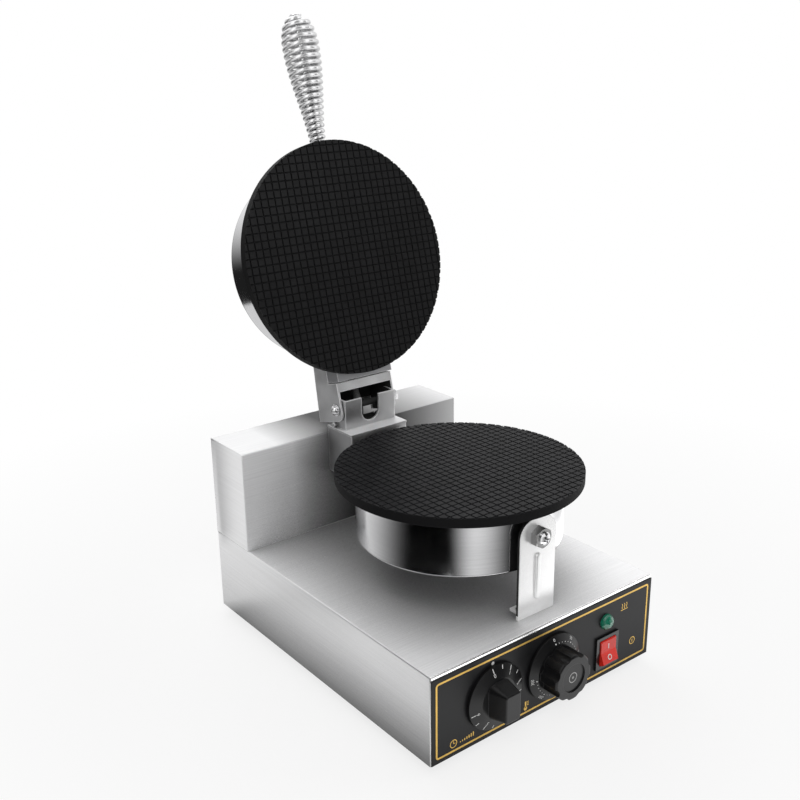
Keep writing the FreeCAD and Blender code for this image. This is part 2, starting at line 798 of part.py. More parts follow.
def lid_bracket():
    tail = hinge_y + arm_tail
    low = hinge_z - arm_below
    start = plate_y + drum_r - 2 * drum_sheet - arm_half
    outline = [(start, arm_floor), (arm_front, arm_floor), (arm_front, low), (tail, low),
               (tail, arm_top(tail)), (start, arm_top(start))]
    points = [V(0, y, z) for y, z in outline]
    flange = Part.Face(Part.makePolygon(points + points[:1])).extrude(X * hinge_sheet)
    corner = [e for e in flange.Edges
              if abs(e.CenterOfMass.y - tail) < fit and abs(e.CenterOfMass.z - low) < fit]
    flange = flange.makeFillet(arm_corner, corner)
    inner = arm_half - hinge_sheet
    parts = []
    for x in (-arm_half, inner):
        side_flange = flange.copy()
        side_flange.translate(X * x)
        parts.append(side_flange)
    web_end = hinge_y + top_web_tail
    web = [V(-inner, y, arm_top(y) - t) for y, t in
           ((start, 0), (web_end, 0), (web_end, hinge_sheet), (start, hinge_sheet))]
    parts.append(Part.Face(Part.makePolygon(web + web[:1])).extrude(X * (2 * inner)))
    parts.append(box(-inner, inner, arm_front, arm_front + crossbar, low, low + hinge_sheet))
    parts.append(box(-inner, inner, start, arm_front, arm_floor, arm_floor + hinge_sheet))
    arm = parts[0].fuse(parts[1:]).cut(drum_cut(lid_back, lid_top))
    strip_top = arm_top(plate_y + drum_r) - hinge_sheet
    arm = arm.fuse(saddle(arm_half, arm_floor, strip_top, hinge_sheet))
    holes = [bar(pivot_r + fit, V(-arm_half, hinge_y, hinge_z), X, 2 * arm_half)]
    holes += [bar(small_screw_r + fit, p - Z * hinge_sheet, Z, hinge_sheet) for p in block_points()]
    holes += [bar(small_screw_r + fit, V(p.x, plate_y, p.z), Y, hinge_reach) for p in arm_points()]
    holes.append(bar(sleeve_r + side_gap, V(0, plate_y, sleeve_z), Y, hinge_reach - bracket_front))
    return arm.cut(holes).removeSplitter()


sleeve_z = (arm_floor + hinge_z + arm_top_front) / 2


def arm_points():
    """Screws that hold the arm to the upper drum."""
    return [V(s * (arm_half - lip), 0, sleeve_z) for s in (-1, 1)]


def block_points():
    y = (plate_y + drum_r + arm_front) / 2
    return [V(s * (arm_half - lip), y, arm_floor + hinge_sheet) for s in (-1, 1)]


def lid_block():
    half = arm_half - side_gap
    start = plate_y + drum_r - half
    block = box(-half, half, start, arm_front - block_gap, lid_back, arm_floor)
    block = block.cut(drum_cut(lid_back, lid_top))
    return block.cut([bar(small_screw_r + fit, p - Z * small_screw, Z, small_screw) for p in block_points()])


def arm_screws():
    """Screws of the arm in the lid block, and in the drum."""
    y = plate_y + math.sqrt((drum_r + seat_gap + hinge_sheet) ** 2 - (arm_half - lip - small_head_r) ** 2)
    in_drum = [small_screw_at(V(p.x, y, p.z), Y) for p in arm_points()]
    return [small_screw_at(p, Z) for p in block_points()] + in_drum


def upper_drum():
    wall = plate_y + drum_r
    holes = [bar(small_screw_r + fit, V(p.x, wall - drum_r / 4, p.z), Y, drum_r / 2) for p in arm_points()]
    holes.append(bar(sleeve_r + side_gap, V(0, wall - drum_r / 4, sleeve_z), Y, drum_r / 2))
    holes.append(bar(rod_r + fit, V(0, plate_y - drum_r - drum_sheet, handle_z), Y, drum_r / 4))
    return flipped(drum()).cut(holes)


# Handle, drawn closed

handle_root = plate_y - drum_r
coil_start = collar_h + coil_gap + wire_d / 2
rod_length = coil_start + coil_length + wire_d / 2 + coil_gap


def handle_rod():
    """Long rod with a domed head at the tip, held in the drum wall by a nut."""
    head = stand(domed(rod_head_r, rod_head_h, rod_head_h / 4), V(0, handle_root - rod_length, handle_z), -Y)
    return head.fuse(bar(rod_r, V(0, handle_root + rod_inside, handle_z), -Y, rod_inside + rod_length))


def handle_collar():
    at = V(0, handle_root + collar_h, handle_z)
    collar = ring(collar_r, rod_r + fit, at, -Y, 2 * collar_h)
    return collar.cut(drum_cut(lid_back, lid_top))


def handle_nut():
    at = V(0, handle_root + drum_sheet, handle_z)
    nut = hex_nut(at, Y, nut_across, nut_h, rod_r + fit)
    return nut.common(bar(drum_r - drum_sheet - seat_gap, V(0, plate_y, lid_back), Z, drum_h))


def coil_outline():
    """The bulb's outline as (along, radius) points: a long swell from the collar, then a round end."""
    steps = 200
    rise = coil_bulb_r - coil_root_r
    swell = [(coil_bulb_at * k / steps, coil_root_r + rise * (1 - math.cos(math.pi * k / steps)) / 2)
             for k in range(steps)]
    last = math.acos((coil_tip_r - coil_root_r) / rise)
    reach = (coil_length - coil_bulb_at) / math.sin(last)
    angles = [last * k / steps for k in range(steps + 1)]
    return swell + [(coil_bulb_at + reach * math.sin(a), coil_root_r + rise * math.cos(a)) for a in angles]


def coil_stations():
    """Distances along the outline, one for each of its points."""
    stations = [0.0]
    for (a, r), (b, q) in zip(outline, outline[1:]):
        stations.append(stations[-1] + math.hypot(b - a, q - r))
    return stations


outline = coil_outline()
stations = coil_stations()


def coil_point(turn):
    """Middle of the wire after a number of turns from the collar, wound evenly along the outline."""
    share = turn / coil_turns
    station = stations[-1] * share * (1 + coil_opening * (share - 1))
    k = min(bisect.bisect_right(stations, station), len(stations) - 1)
    part = (station - stations[k - 1]) / (stations[k] - stations[k - 1])
    along, radius = [a + (b - a) * part for a, b in zip(outline[k - 1], outline[k])]
    angle = 2 * math.pi * turn
    y = handle_root - coil_start - along
    return V(radius * math.cos(angle), y, handle_z + radius * math.sin(angle))


def coil_heading(turn):
    step = 0.001
    return (coil_point(min(turn + step, coil_turns)) - coil_point(max(turn - step, 0))).normalize()


def arc_from(start, heading, end):
    """The arc that leaves a point along a heading and ends at another point."""
    chord = end - start
    along = V(chord).normalize()
    bulge = (heading - along * heading.dot(along)).normalize()
    half = chord.Length / 2
    middle = start + along * half + bulge * (half * math.tan(heading.getAngle(along) / 2))
    return Part.Arc(start, middle, end)


def biarc(start, heading, end, leaving):
    """Two tangent arcs from one point and heading to another."""
    span, both = end - start, heading + leaving
    spread = 2 * (1 - heading.dot(leaving))
    reach = (-span.dot(both) + math.sqrt(span.dot(both) ** 2 + spread * span.dot(span))) / spread
    joint = (start + end + (heading - leaving) * reach) * 0.5
    back = arc_from(end, leaving * -1, joint)
    return [arc_from(start, heading, joint), Part.Arc(joint, back.value(middle_of(back)), end)]


def middle_of(curve):
    return (curve.FirstParameter + curve.LastParameter) / 2


def coil_wire():
    """The middle line of the handle's wire: quarter turns as biarcs, with a straight run at each end."""
    quarters = int(4 * coil_turns)
    turns = [k * coil_turns / quarters for k in range(quarters + 1)]
    points = [coil_point(t) for t in turns]
    headings = [coil_heading(t) for t in turns]
    arcs = []
    for k in range(quarters):
        arcs += biarc(points[k], headings[k], points[k + 1], headings[k + 1])
    run_in = Part.LineSegment(points[0] - headings[0] * wire_d, points[0])
    run_out = Part.LineSegment(points[-1], points[-1] + headings[-1] * wire_d)
    return Part.Wire([c.toShape() for c in [run_in] + arcs + [run_out]])


def print_coil_gap(wire):
    """Measures the least gap between turns on points along the wire."""
    count = int(36 * coil_turns)
    points = wire.discretize(count)
    apart = int(count / coil_turns / 2)
    least = min((points[j] - points[i]).Length for i in range(count) for j in range(i + apart, count))
    print("handle coil: least gap between turns %.2f mm" % (least - wire_d))


def handle_coil():
    wire = coil_wire()
    coil = tube(wire, wire_d / 2)
    print_coil_gap(wire)
    print("handle coil: volume over section times length %.4f" %
          (coil.Volume / (math.pi * wire_d ** 2 / 4 * wire.Length)))
    return coil


# Controls, drawn upwards from the panel and then turned to face the front

def faced(shape, x, z):
    """Puts a shape on the panel: its up becomes forwards."""
    shape = shape.copy()
    shape.rotate(O, X, 90)
    shape.translate(V(x, panel, foot_h + z))
    return shape


wall_back = overlay_t + sheet


def control_body():
    """Timer or thermostat body behind the front wall, with its threaded bushing through the panel."""
    low = -wall_back - control_d
    body = box(-control_w / 2, control_w / 2, -control_h / 2, control_h / 2, low, -wall_back)
    body = body.fuse(bar(bushing_r, V(0, 0, -wall_back), Z, wall_back + bushing_out))
    tabs = [box(x - 3 * sheet, x + 3 * sheet, -sheet / 2, sheet / 2, low - 6 * sheet, low)
            for x in (-control_w / 4, control_w / 4)]
    bore = bar(shaft_r + fit, V(0, 0, -shaft_in), Z, shaft_in + bushing_out)
    return body.fuse(tabs).cut(bore)


def bushing_nut():
    return hex_nut(O, Z, bushing_nut_across, bushing_nut_h, bushing_r + fit)


def control_shaft():
    """Shaft with a flat, from the body into the knob."""
    length = shaft_in - side_gap + shaft_out
    shaft = bar(shaft_r, V(0, 0, -shaft_in + side_gap), Z, length)
    flat = box(shaft_r / 2, shaft_r, -shaft_r, shaft_r, bushing_out + side_gap, shaft_out)
    return shaft.cut(flat)


def knob_room():
    """Hollow at the back of a knob for the bushing nut, and the bore for its shaft."""
    room = bar(knob_recess_r, V(0, 0, knob_lift), Z, knob_recess_h)
    shaft = bar(shaft_r + fit, V(0, 0, knob_lift), Z, shaft_out + side_gap - knob_lift)
    start = knob_lift + knob_recess_h
    flat = box(shaft_r / 2 + fit, 2 * shaft_r, -2 * shaft_r, 2 * shaft_r, start, timer_out)
    return [room, shaft.cut(flat)]


def dial(radius, hub_r):
    """Round skirt with a straight rim and a sloping face up to the hub."""
    rim, top = knob_lift + dial_rim, knob_lift + dial_rim + dial_slope
    return turned([(0, knob_lift), (radius, knob_lift), (radius, rim), (hub_r, top), (0, top)])


def rounded(w, h, r, z):
    """Outline of a rounded rectangle at a height."""
    a, b = w / 2, h / 2
    return path([V(x, y, z) for x, y in ((0, -b), (a, -b), (a, b), (-a, b), (-a, -b), (0, -b))], r)


def timer_knob():
    top = knob_lift + dial_rim + dial_slope
    low = rounded(timer_grip_root_w, timer_grip_root_h, timer_grip_root_w / 3, top - dial_slope)
    high = rounded(timer_grip_w, timer_grip_h, dial_rim, timer_out)
    grip = Part.makeLoft([low, high], True, True)
    front_edges = [e for e in grip.Edges if e.BoundBox.ZMin > timer_out - fit]
    grip = grip.makeFillet(grip_round, front_edges)
    knob = dial(timer_dial_r, timer_hub_r).fuse(grip)
    return knob.cut(knob_room()).removeSplitter()


def thermostat_knob():
    top = knob_lift + dial_rim + dial_slope
    grip = bar(thermostat_grip_r, V(0, 0, top - dial_slope), Z, thermostat_out - top + dial_slope)
    crown = [e for e in grip.Edges if e.CenterOfMass.z > thermostat_out - dial_rim]
    grip = grip.makeFillet(dial_rim, crown)
    reach = thermostat_grip_r + flute_r - flute_depth
    for k in range(flutes):
        a = 2 * math.pi * (k + 0.5) / flutes
        grip = grip.cut(bar(flute_r, V(reach * math.cos(a), reach * math.sin(a), top), Z, thermostat_out))
    grip = grip.cut(bar(face_recess_r, V(0, 0, thermostat_out - face_recess), Z, face_recess))
    knob = dial(thermostat_dial_r, thermostat_grip_r + dial_rim).fuse(grip)
    return knob.cut(knob_room()).removeSplitter()


def lamp_body():
    body = bar(lamp_r, V(0, 0, -lamp_d), Z, lamp_d)
    tabs = [box(x - sheet, x + sheet, -sheet / 2, sheet / 2, -lamp_d - 5 * sheet, -lamp_d)
            for x in (-lamp_r / 2, lamp_r / 2)]
    return body.fuse(tabs)


def lamp_lens():
    return domed(lens_r, lens_h, lens_rim)


def switch_body():
    half_w, half_h = switch_halves()
    rim_w, rim_h = half_w + switch_rim, half_h + switch_rim
    body = box(-rim_w, rim_w, -rim_h, rim_h, 0, rim_proud)
    body = body.fuse(box(-half_w, half_w, -half_h, half_h, -switch_depth, 0))
    tabs = [box(-3 * sheet, 3 * sheet, y - sheet / 2, y + sheet / 2, -switch_depth - 6 * sheet, -switch_depth)
            for y in (-half_h / 2, half_h / 2)]
    room_w, room_h = rocker_w / 2 + cover_gap, rocker_r + cover_gap
    room = box(-room_w, room_w, -room_h, room_h, -rocker_pivot_in - cavity_depth, rim_proud)
    socket = rocker_w / 2 + rocker_pin + cover_gap
    bore = bar(rocker_pin_r + fit, V(-socket, 0, -rocker_pivot_in), X, 2 * socket)
    return body.fuse(tabs).cut([room, bore])


def rocker():
    """Rocker with a shallow valley, its ends round about the pivot, pressed in at the top."""
    half = rocker_w / 2
    slope = math.tan(math.radians(rocker_angle)) * 2 * rocker_r
    low, end = -rocker_pivot_in - rocker_back, 2 * rocker_r
    corners = [(-end, low), (end, low), (end, rocker_valley + slope), (0, rocker_valley),
               (-end, rocker_valley + slope)]
    points = [V(-half, y, z) for y, z in corners]
    wedge = Part.Face(Part.makePolygon(points + points[:1])).extrude(X * rocker_w)
    round_part = bar(rocker_r, V(-half, 0, -rocker_pivot_in), X, rocker_w)
    pin = half + rocker_pin
    pins = bar(rocker_pin_r, V(-pin, 0, -rocker_pivot_in), X, 2 * pin)
    shape = wedge.common(round_part).fuse(pins)
    shape.rotate(V(0, 0, -rocker_pivot_in), X, -rocker_angle)
    return shape


# Wiring inside, and the sensor of the thermostat

def block_face():
    return V(0, rear - 2 * sheet - block_d, base_top + block_h / 3)


def control_leads():
    """Leads from the controls, along the base and up into the terminal block."""
    face = block_face()
    back = panel + wall_back + control_d + 6 * sheet
    starts = [V(timer_x, back, timer_z), V(thermostat_x, back, timer_z),
              V(switch_x, panel + switch_depth + 6 * sheet, foot_h + switch_z),
              V(lamp_x, panel + lamp_d + 5 * sheet, foot_h + lamp_z)]
    leads = []
    for start, x in zip(starts, wire_places()[1:5]):
        start = start + Y * side_gap
        rise_y = tower_front + slot_d / 2
        low = foot_h + base_h / 3
        points = [start, start + Y * 2 * wire_bend, V(x, tower_front - slot_d, low),
                  V(x, rise_y, low), V(x, rise_y, face.z), V(x, face.y, face.z)]
        leads.append(tube(path(points, wire_bend), wire_r))
    return leads


def heater_leads():
    """Leads from the terminal block through the channel to the lower heating element."""
    face = block_face()
    leads = []
    for end, s in zip(heater_ends(), (-1, 1)):
        x = wire_places()[0 if s < 0 else 5]
        near = s * (pass_r - 3 * wire_r)
        rise_y = face.y - 2 * wire_bend
        points = [V(x, face.y, face.z), V(x, rise_y, face.z), V(near, rise_y, pass_z),
                  V(near, end.y + 3 * wire_bend, pass_z), end - Z * 1.5 * wire_bend, end - Z * seat_gap]
        leads.append(tube(path(points, wire_bend), wire_r))
    return leads


def thermostat_sensor():
    """Thin tube from the thermostat to a bulb under the lower plate."""
    back = panel + wall_back + control_d
    start = V(thermostat_x, back, timer_z + control_h / 4)
    x = slot_w / 2 - wire_bend / 2
    rise_y = tower_front + slot_d / 2
    low = foot_h + base_h / 2
    low_z = pass_z - pass_r / 2
    bulb_end = V(0, plate_y + boss_r + bulb_gap + bulb_length, plate_bottom - bulb_r - fit)
    points = [start, start + Y * 3 * wire_bend, V(x, tower_front - slot_d, low), V(x, rise_y, low),
              V(x, rise_y, low_z), V(0, rise_y - wire_bend, low_z), V(0, bulb_end.y + 3 * wire_bend, low_z),
              bulb_end + Y * wire_bend, bulb_end]
    thin = tube(path(points, wire_bend / 2), sensor_r)
    return thin.fuse(bar(bulb_r, bulb_end, -Y, bulb_length))


def hinge_sleeve():
    """Sleeved lead to the upper heating element, past the hinge line and into the open lid."""
    inside = lid_point(plate_y + drum_r - hinge_y - 3 * sleeve_r, sleeve_z - hinge_z)
    outside = lid_point(plate_y + drum_r - hinge_y + sleeve_bend, sleeve_z - hinge_z)
    points = [V(0, tower_front + slot_d / 2, pass_z), V(0, sleeve_y, pass_z),
              V(0, sleeve_y, hinge_z - sleeve_r), outside, inside]
    return tube(path(points, sleeve_bend), sleeve_r)


def save(name, shape):
    solids = shape if isinstance(shape, list) else [shape]
    Part.makeCompound(solids).exportStep("parts/%s.step" % name)
    count = sum(len(s.Solids) for s in solids)
    valid = all(s.isValid() for s in solids)
    print("%-18s solids %2d  valid %s  volume %.1f" % (name, count, valid, sum(s.Volume for s in solids)))


os.makedirs("parts", exist_ok=True)

for piece in (base_shell, panel_overlay, bottom_plate, rubber_feet, foot_screws, foot_nuts, bottom_screws,
              tower_shell, rear_cover, cover_screws, tower_screws, cord_gland, terminal_block,
              lower_drum, front_leg, leg_screw, leg_nut, leg_spacer, leg_inner_nut, leg_foot_screws,
              rear_channel, channel_screws, hinge_bracket, hinge_screws, pivot_bolt, pivot_washers,
              pivot_nut, stop_pins, control_leads, heater_leads, thermostat_sensor, hinge_sleeve):
    save(piece.__name__, piece())

for piece in (lid_bracket, lid_block, upper_drum, handle_rod, handle_collar, handle_nut, handle_coil):
    save(piece.__name__, opened(piece()))
save("arm_screws", [opened(s) for s in arm_screws()])

for name, piece in (("plate", baking_plate()), ("heater", heater()), ("insulation", insulation()),
                    ("drum_bolt", drum_bolt())):
    save("lower_" + name, piece)
    save("upper_" + name, opened(flipped(piece)))

for name, x in (("timer", timer_x), ("thermostat", thermostat_x)):
    save(name + "_body", faced(control_body(), x, knob_z))
    save(name + "_nut", faced(bushing_nut(), x, knob_z))
    save(name + "_shaft", faced(control_shaft(), x, knob_z))
save("timer_knob", faced(timer_knob(), timer_x, knob_z))
save("thermostat_knob", faced(thermostat_knob(), thermostat_x, knob_z))
save("lamp_body", faced(lamp_body(), lamp_x, lamp_z))
save("lamp_lens", faced(lamp_lens(), lamp_x, lamp_z))
save("switch_body", faced(switch_body(), switch_x, switch_z))
save("rocker", faced(rocker(), switch_x, switch_z))
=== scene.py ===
import json
import math

import bmesh
import bpy
from bpy.props import FloatProperty, FloatVectorProperty, IntProperty, PointerProperty
from mathutils import Matrix, Vector


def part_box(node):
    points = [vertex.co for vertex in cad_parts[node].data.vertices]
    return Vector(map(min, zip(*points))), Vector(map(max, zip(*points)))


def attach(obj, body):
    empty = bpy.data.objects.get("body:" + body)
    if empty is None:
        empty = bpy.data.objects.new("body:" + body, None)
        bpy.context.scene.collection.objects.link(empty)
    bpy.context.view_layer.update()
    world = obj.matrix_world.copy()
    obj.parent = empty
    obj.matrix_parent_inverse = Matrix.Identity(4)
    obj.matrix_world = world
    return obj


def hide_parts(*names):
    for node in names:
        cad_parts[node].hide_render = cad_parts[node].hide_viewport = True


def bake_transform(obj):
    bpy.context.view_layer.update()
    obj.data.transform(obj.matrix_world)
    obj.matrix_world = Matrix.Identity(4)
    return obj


bl_info = {
    "name": "Waffle Cone Maker",
    "version": (1, 0, 0),
    "blender": (4, 5, 0),
    "location": "View3D > Sidebar > Cone Maker",
    "description": "Finishes, printed marks, wound handle and studio for the cone maker",
    "category": "Object",
}

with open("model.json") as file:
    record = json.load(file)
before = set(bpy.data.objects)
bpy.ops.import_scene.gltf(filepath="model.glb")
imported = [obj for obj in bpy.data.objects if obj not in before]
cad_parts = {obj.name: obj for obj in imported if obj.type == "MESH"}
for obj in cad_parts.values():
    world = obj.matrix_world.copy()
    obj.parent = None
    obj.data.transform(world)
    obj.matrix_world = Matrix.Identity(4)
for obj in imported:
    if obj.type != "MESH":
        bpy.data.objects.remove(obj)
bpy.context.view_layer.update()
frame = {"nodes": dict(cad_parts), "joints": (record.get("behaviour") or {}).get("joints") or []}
cad = frame["nodes"]
joints = {joint["name"]: joint for joint in frame["joints"]}

MM = 0.001
PRINT = 0.05 * MM
PANEL_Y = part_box("panel_overlay")[0].y
HINGE = Vector(joints["lid_hinge"]["pos_m"])
LID_OPEN = math.radians(joints["lid_hinge"]["range_deg"][1])
TIMER = Vector(joints["timer_turn"]["pos_m"])
THERMOSTAT = Vector(joints["thermostat_turn"]["pos_m"])
ROCKER = Vector(joints["rocker_tilt"]["pos_m"])
ROCKER_TILT = math.radians(joints["rocker_tilt"]["range_deg"][1])
PLATE = 8.5 * MM
PLATE_GAP = 1.0 * MM

# Where a noise starts and ends to count, over its whole swing and over its middle
SWING = (0.3, 0.7)
MIDDLE = (0.35, 0.65)

# Black of the painted shade in shaded insides, and how far off other pieces still cast painted shade on a sheet
PAINTED_SHADE_BLACK = (0.012, 0.012, 0.012)
SHADE_REACH = 0.17

# Painted shade on the tower, standing in for the lid's shade and dark reflection: its level at the left, by the
# hinge and at the right, and four spots between in millimetres
TOP_PAINTED_SHADE = (0.10, 0.88, 0.16, (-86.0, -20.0, 20.0, 120.0))
FRONT_PAINTED_SHADE = (0.0, 0.90, 0.46, (-72.0, -5.0, 50.0, 124.0))

# A number's type size for its height, the points of the wire's line on each turn, and the collar to the wire
TYPE_SIZE = 1.4
TURN_POINTS = 24
WIRE_START = 1.2 * MM

# The camera's place, and its right, up and back axes
CAMERA_AT = Vector((-0.5391, -0.6590, 0.5212))
CAMERA_AXES = ((0.7859, -0.6182, -0.0131), (0.2074, 0.2436, 0.9474), (-0.5825, -0.7473, 0.3197))
SENSOR = 36.0

# Lamps: name, place and size
LAMPS = (("key", (-0.9, -1.1, 1.5), 1.2),
         ("fill", (1.3, -0.9, 0.9), 1.0),
         ("back", (0.3, 1.2, 1.5), 1.2))
LAMP_AIM = Vector((0.0, 0.0, 0.15))
WHITE = (1.0, 1.0, 1.0, 1.0)

# Floor: its size, and how bright reflections show it beside, before and behind the base.
# Each row holds two levels and the distances from the base between which they change.
FLOOR_SIZE = 6.0
FLOOR_SIDES = ((0.12, 1.0, 0.0, 0.095), (0.0, 1.2, 0.095, 0.15), (1.0, 0.42, 0.19, 0.25))
FLOOR_FRONT = ((0.9, 1.9, 0.0, 0.08), (1.0, 0.62, 0.12, 0.18))
FLOOR_REAR = 0.78

# Flags: name, place, the way they face in degrees, width, bottom, top, start of their fade and darkest level
FLAGS = (("flag_back", (-0.346, 0.631), 118, 0.70, 0.001, 0.60, 0.24, 0.015),
         ("flag_camera", (-0.456, -0.471), 237, 0.34, 0.25, 0.85, 0.85, 0.03),
         ("flag_right", (0.53, -0.59), 306, 0.60, 0.30, 1.00, 1.00, 0.05),
         ("flag_left", (-0.78, 0.48), 160, 0.60, 0.30, 0.90, 0.90, 0.12))

# Banded card: radius, first angle, sweep, steps, bottom and top. Near its first edge, above a height,
# it steps from one level to another. Each dark band has the angles of its start, full part and end.
BANDED_ARC = (0.24, 122.0, 174.0, 48, 0.012, 0.20)
BANDED_LEVEL = 0.75
BANDED_EDGE = (0.60, 1.12, math.radians(122.6), math.radians(126.4))
BANDED_EDGE_Z = (0.07, 0.09)
BANDS = ((122, 187, 219, 243), (243, 281, 289, 295))

# Bent card: radius, sweep, steps, bottom and top in handle coordinates, how far its middle stands off
# the camera, and its levels with the degrees off the middle between which they change
BENT_RADIUS, BENT_SWEEP, BENT_STEPS, BENT_LOW, BENT_HIGH = 0.34, 112.0, 32, -0.05, 1.05
BENT_OFF = 11.0
BENT_LEVELS = ((0.28, 1.7, 16.0, 26.0), (1.0, 0.4, 46.0, 53.0))


def colour(name, about, value):
    return FloatVectorProperty(name=name, description=about, subtype="COLOR", size=3,
                               min=0.0, max=1.0, default=value)


def length(name, about, value):
    return FloatProperty(name=name, description=about, subtype="DISTANCE", unit="LENGTH",
                         min=0.0, precision=5, default=value)


def share(name, about, value, high=1.0):
    return FloatProperty(name=name, description=about, subtype="FACTOR", min=0.0, max=high, default=value)


def power(name, value):
    return FloatProperty(name=name, description="Power of the " + name.lower(), subtype="POWER", default=value)


class ConeMakerFinish(bpy.types.PropertyGroup):
    """Colours and finishes of the pieces."""
    steel: colour("Brushed steel", "Sheets of the base and the tower", (0.95, 0.95, 0.955))
    satin: colour("Satin steel", "Hinge, arm and channel", (0.55, 0.55, 0.555))
    polish: colour("Polished steel", "Drums of both baking plates", (0.75, 0.75, 0.76))
    leg: colour("Leg steel", "Front leg", (0.93, 0.93, 0.93))
    chrome: colour("Chrome", "Handle and bright fasteners", (0.86, 0.86, 0.87))
    wire: colour("Handle wire", "Wound wire of the handle", (0.70, 0.70, 0.705))
    nut: colour("Nut steel", "Nut of the front leg", (0.28, 0.28, 0.28))
    zinc: colour("Plated steel", "Plain screws and nuts", (0.66, 0.66, 0.67))
    casting: colour("Casting", "Block between the arm and the upper plate", (0.36, 0.36, 0.37))
    coat: colour("Non-stick coat", "Both baking plates", (0.007, 0.007, 0.0075))
    film: colour("Panel film", "Printed film on the front", (0.013, 0.013, 0.014))
    knob: colour("Knob plastic", "Both knobs and the switch frame", (0.008, 0.008, 0.0085))
    rocker: colour("Rocker", "Switch rocker", (0.80, 0.022, 0.010))
    lens: colour("Lamp lens", "Faceted lens of the lamp", (0.015, 0.27, 0.16))
    gold: colour("Gold print", "Border and symbols of the panel", (0.72, 0.46, 0.10))
    white: colour("White print", "Marks of the dials and the rocker", (0.85, 0.85, 0.84))
    steel_rough: share("Steel roughness", "Middle roughness of the brushed sheets", 0.70)
    side_rough: share("Side roughness", "Middle roughness of the sheets' left and right faces", 0.36)
    polish_rough: share("Polish roughness", "Middle roughness of the drums", 0.10)


class ConeMakerPrint(bpy.types.PropertyGroup):
    """Sizes of the printed marks."""
    border_x: length("Border half width", "Middle of the panel to the gold line", 120.6 * MM)
    border_low: length("Border bottom", "Height of the gold line's lower run", 14.2 * MM)
    border_high: length("Border top", "Height of the gold line's upper run", 80.8 * MM)
    border_line: length("Border line", "Width of the gold line", 1.65 * MM)
    border_corner: length("Border corner", "Rounding of the gold line's corners", 3.0 * MM)
    timer_size: length("Timer numbers", "Height of the numbers on the timer", 3.2 * MM)
    thermostat_size: length("Thermostat numbers", "Height of the numbers on the thermostat", 2.7 * MM)
    timer_steps: IntProperty(name="Timer steps", description="Numbers after the zero of the timer",
                             min=1, max=9, default=6)


class ConeMakerHandle(bpy.types.PropertyGroup):
    """Sizes of the wound handle."""
    wire: length("Wire", "Diameter of the wire", 4.5 * MM)
    span: length("Length", "First turn to last turn, at the middle of the wire", 119.5 * MM)
    turns: FloatProperty(name="Turns", description="Turns of the wire", min=2.0, max=60.0, default=21.75)
    root_r: length("Root radius", "Middle of the wire at the collar", 5.1 * MM)
    bulb_r: length("Bulb radius", "Middle of the wire at the widest turn", 15.0 * MM)
    tip_r: length("Tip radius", "Middle of the wire at the last turn", 7.0 * MM)
    bulb_at: length("Bulb place", "First turn to the widest turn", 96.0 * MM)
    opening: share("Opening", "How much wider the turns lie towards the tip", 0.12)


class ConeMakerStage(bpy.types.PropertyGroup):
    """Studio round the part."""
    lens: FloatProperty(name="Lens", description="Focal length of the camera", subtype="DISTANCE_CAMERA",
                        min=1.0, default=46.57)
    key: power("Key light", 9.0)
    fill: power("Fill light", 3.5)
    back: power("Back light", 5.0)
    ambient: share("Ambient", "Strength of the even light of the room", 0.42, 2.0)


# Nodes

def is_socket(value):
    return isinstance(value, bpy.types.NodeSocket)


def feed(made, inputs):
    """Sets a node's inputs. A socket makes a link."""
    for key, value in inputs.items():
        if is_socket(value):
            made.id_data.links.new(value, made.inputs[key])
        else:
            made.inputs[key].default_value = value


def add(tree, kind, inputs=None, **settings):
    """A shader node with its settings and inputs."""
    made = tree.nodes.new("ShaderNode" + kind)
    for name, value in settings.items():
        setattr(made, name, value)
    feed(made, inputs or {})
    return made


def math_node(operation, a, b=0.0):
    """A sum of one or two values, in the tree of the socket among them."""
    tree = (a if is_socket(a) else b).id_data
    return add(tree, "Math", {0: a, 1: b}, operation=operation).outputs[0]


def plus(a, b):
    return math_node("ADD", a, b)


def minus(a, b):
    return math_node("SUBTRACT", a, b)


def times(a, b):
    return math_node("MULTIPLY", a, b)


def most(a, b):
    return math_node("MAXIMUM", a, b)


def vector_math(operation, a, b=(0.0, 0.0, 0.0)):
    """The outputs of a vector sum: the vector and the value."""
    tree = (a if is_socket(a) else b).id_data
    return add(tree, "VectorMath", {0: a, 1: b}, operation=operation).outputs


def split(vector):
    """The X, Y and Z of a vector."""
    return add(vector.id_data, "SeparateXYZ", {0: vector}).outputs


def spread(value, low, high, start=0.0, end=1.0, kind="LINEAR"):
    """Maps a value from one range to another, held at both ends."""
    return add(value.id_data, "MapRange", {"Value": value, "From Min": start, "From Max": end,
                                           "To Min": low, "To Max": high}, interpolation_type=kind).outputs[0]


def between(factor, a, b):
    """A value between two values."""
    return add(factor.id_data, "Mix", {0: factor, 2: a, 3: b}, data_type="FLOAT").outputs[0]


def tint(factor, a, b):
    """A colour between two colours."""
    ends = {key: end if is_socket(end) else (*end, 1.0) for key, end in ((6, a), (7, b))}
    return add(factor.id_data, "Mix", {0: factor, **ends}, data_type="RGBA").outputs[2]


def shade(value, factor):
    return tuple(min(1.0, c * factor) for c in value)


def mottled(mask, tone, dark, light, limits=SWING):
    """A tone that wanders with a noise between a darker and a lighter one."""
    return tint(spread(mask, 0.0, 1.0, *limits), shade(tone, dark), shade(tone, light))


def noise(vector, scale, detail=2.0, rough=0.5):
    return add(vector.id_data, "TexNoise", {"Vector": vector, "Scale": scale, "Detail": detail,
                                            "Roughness": rough}).outputs[0]


def bump(height, strength, distance, rounding=0.0):
    """The normal of a rough surface, with its sharp edges rounded."""
    made = add(height.id_data, "Bump", {"Height": height, "Strength": strength, "Distance": distance})
    if rounding:
        feed(made, {"Normal": add(height.id_data, "Bevel", {"Radius": rounding}, samples=6).outputs[0]})
    return made.outputs[0]


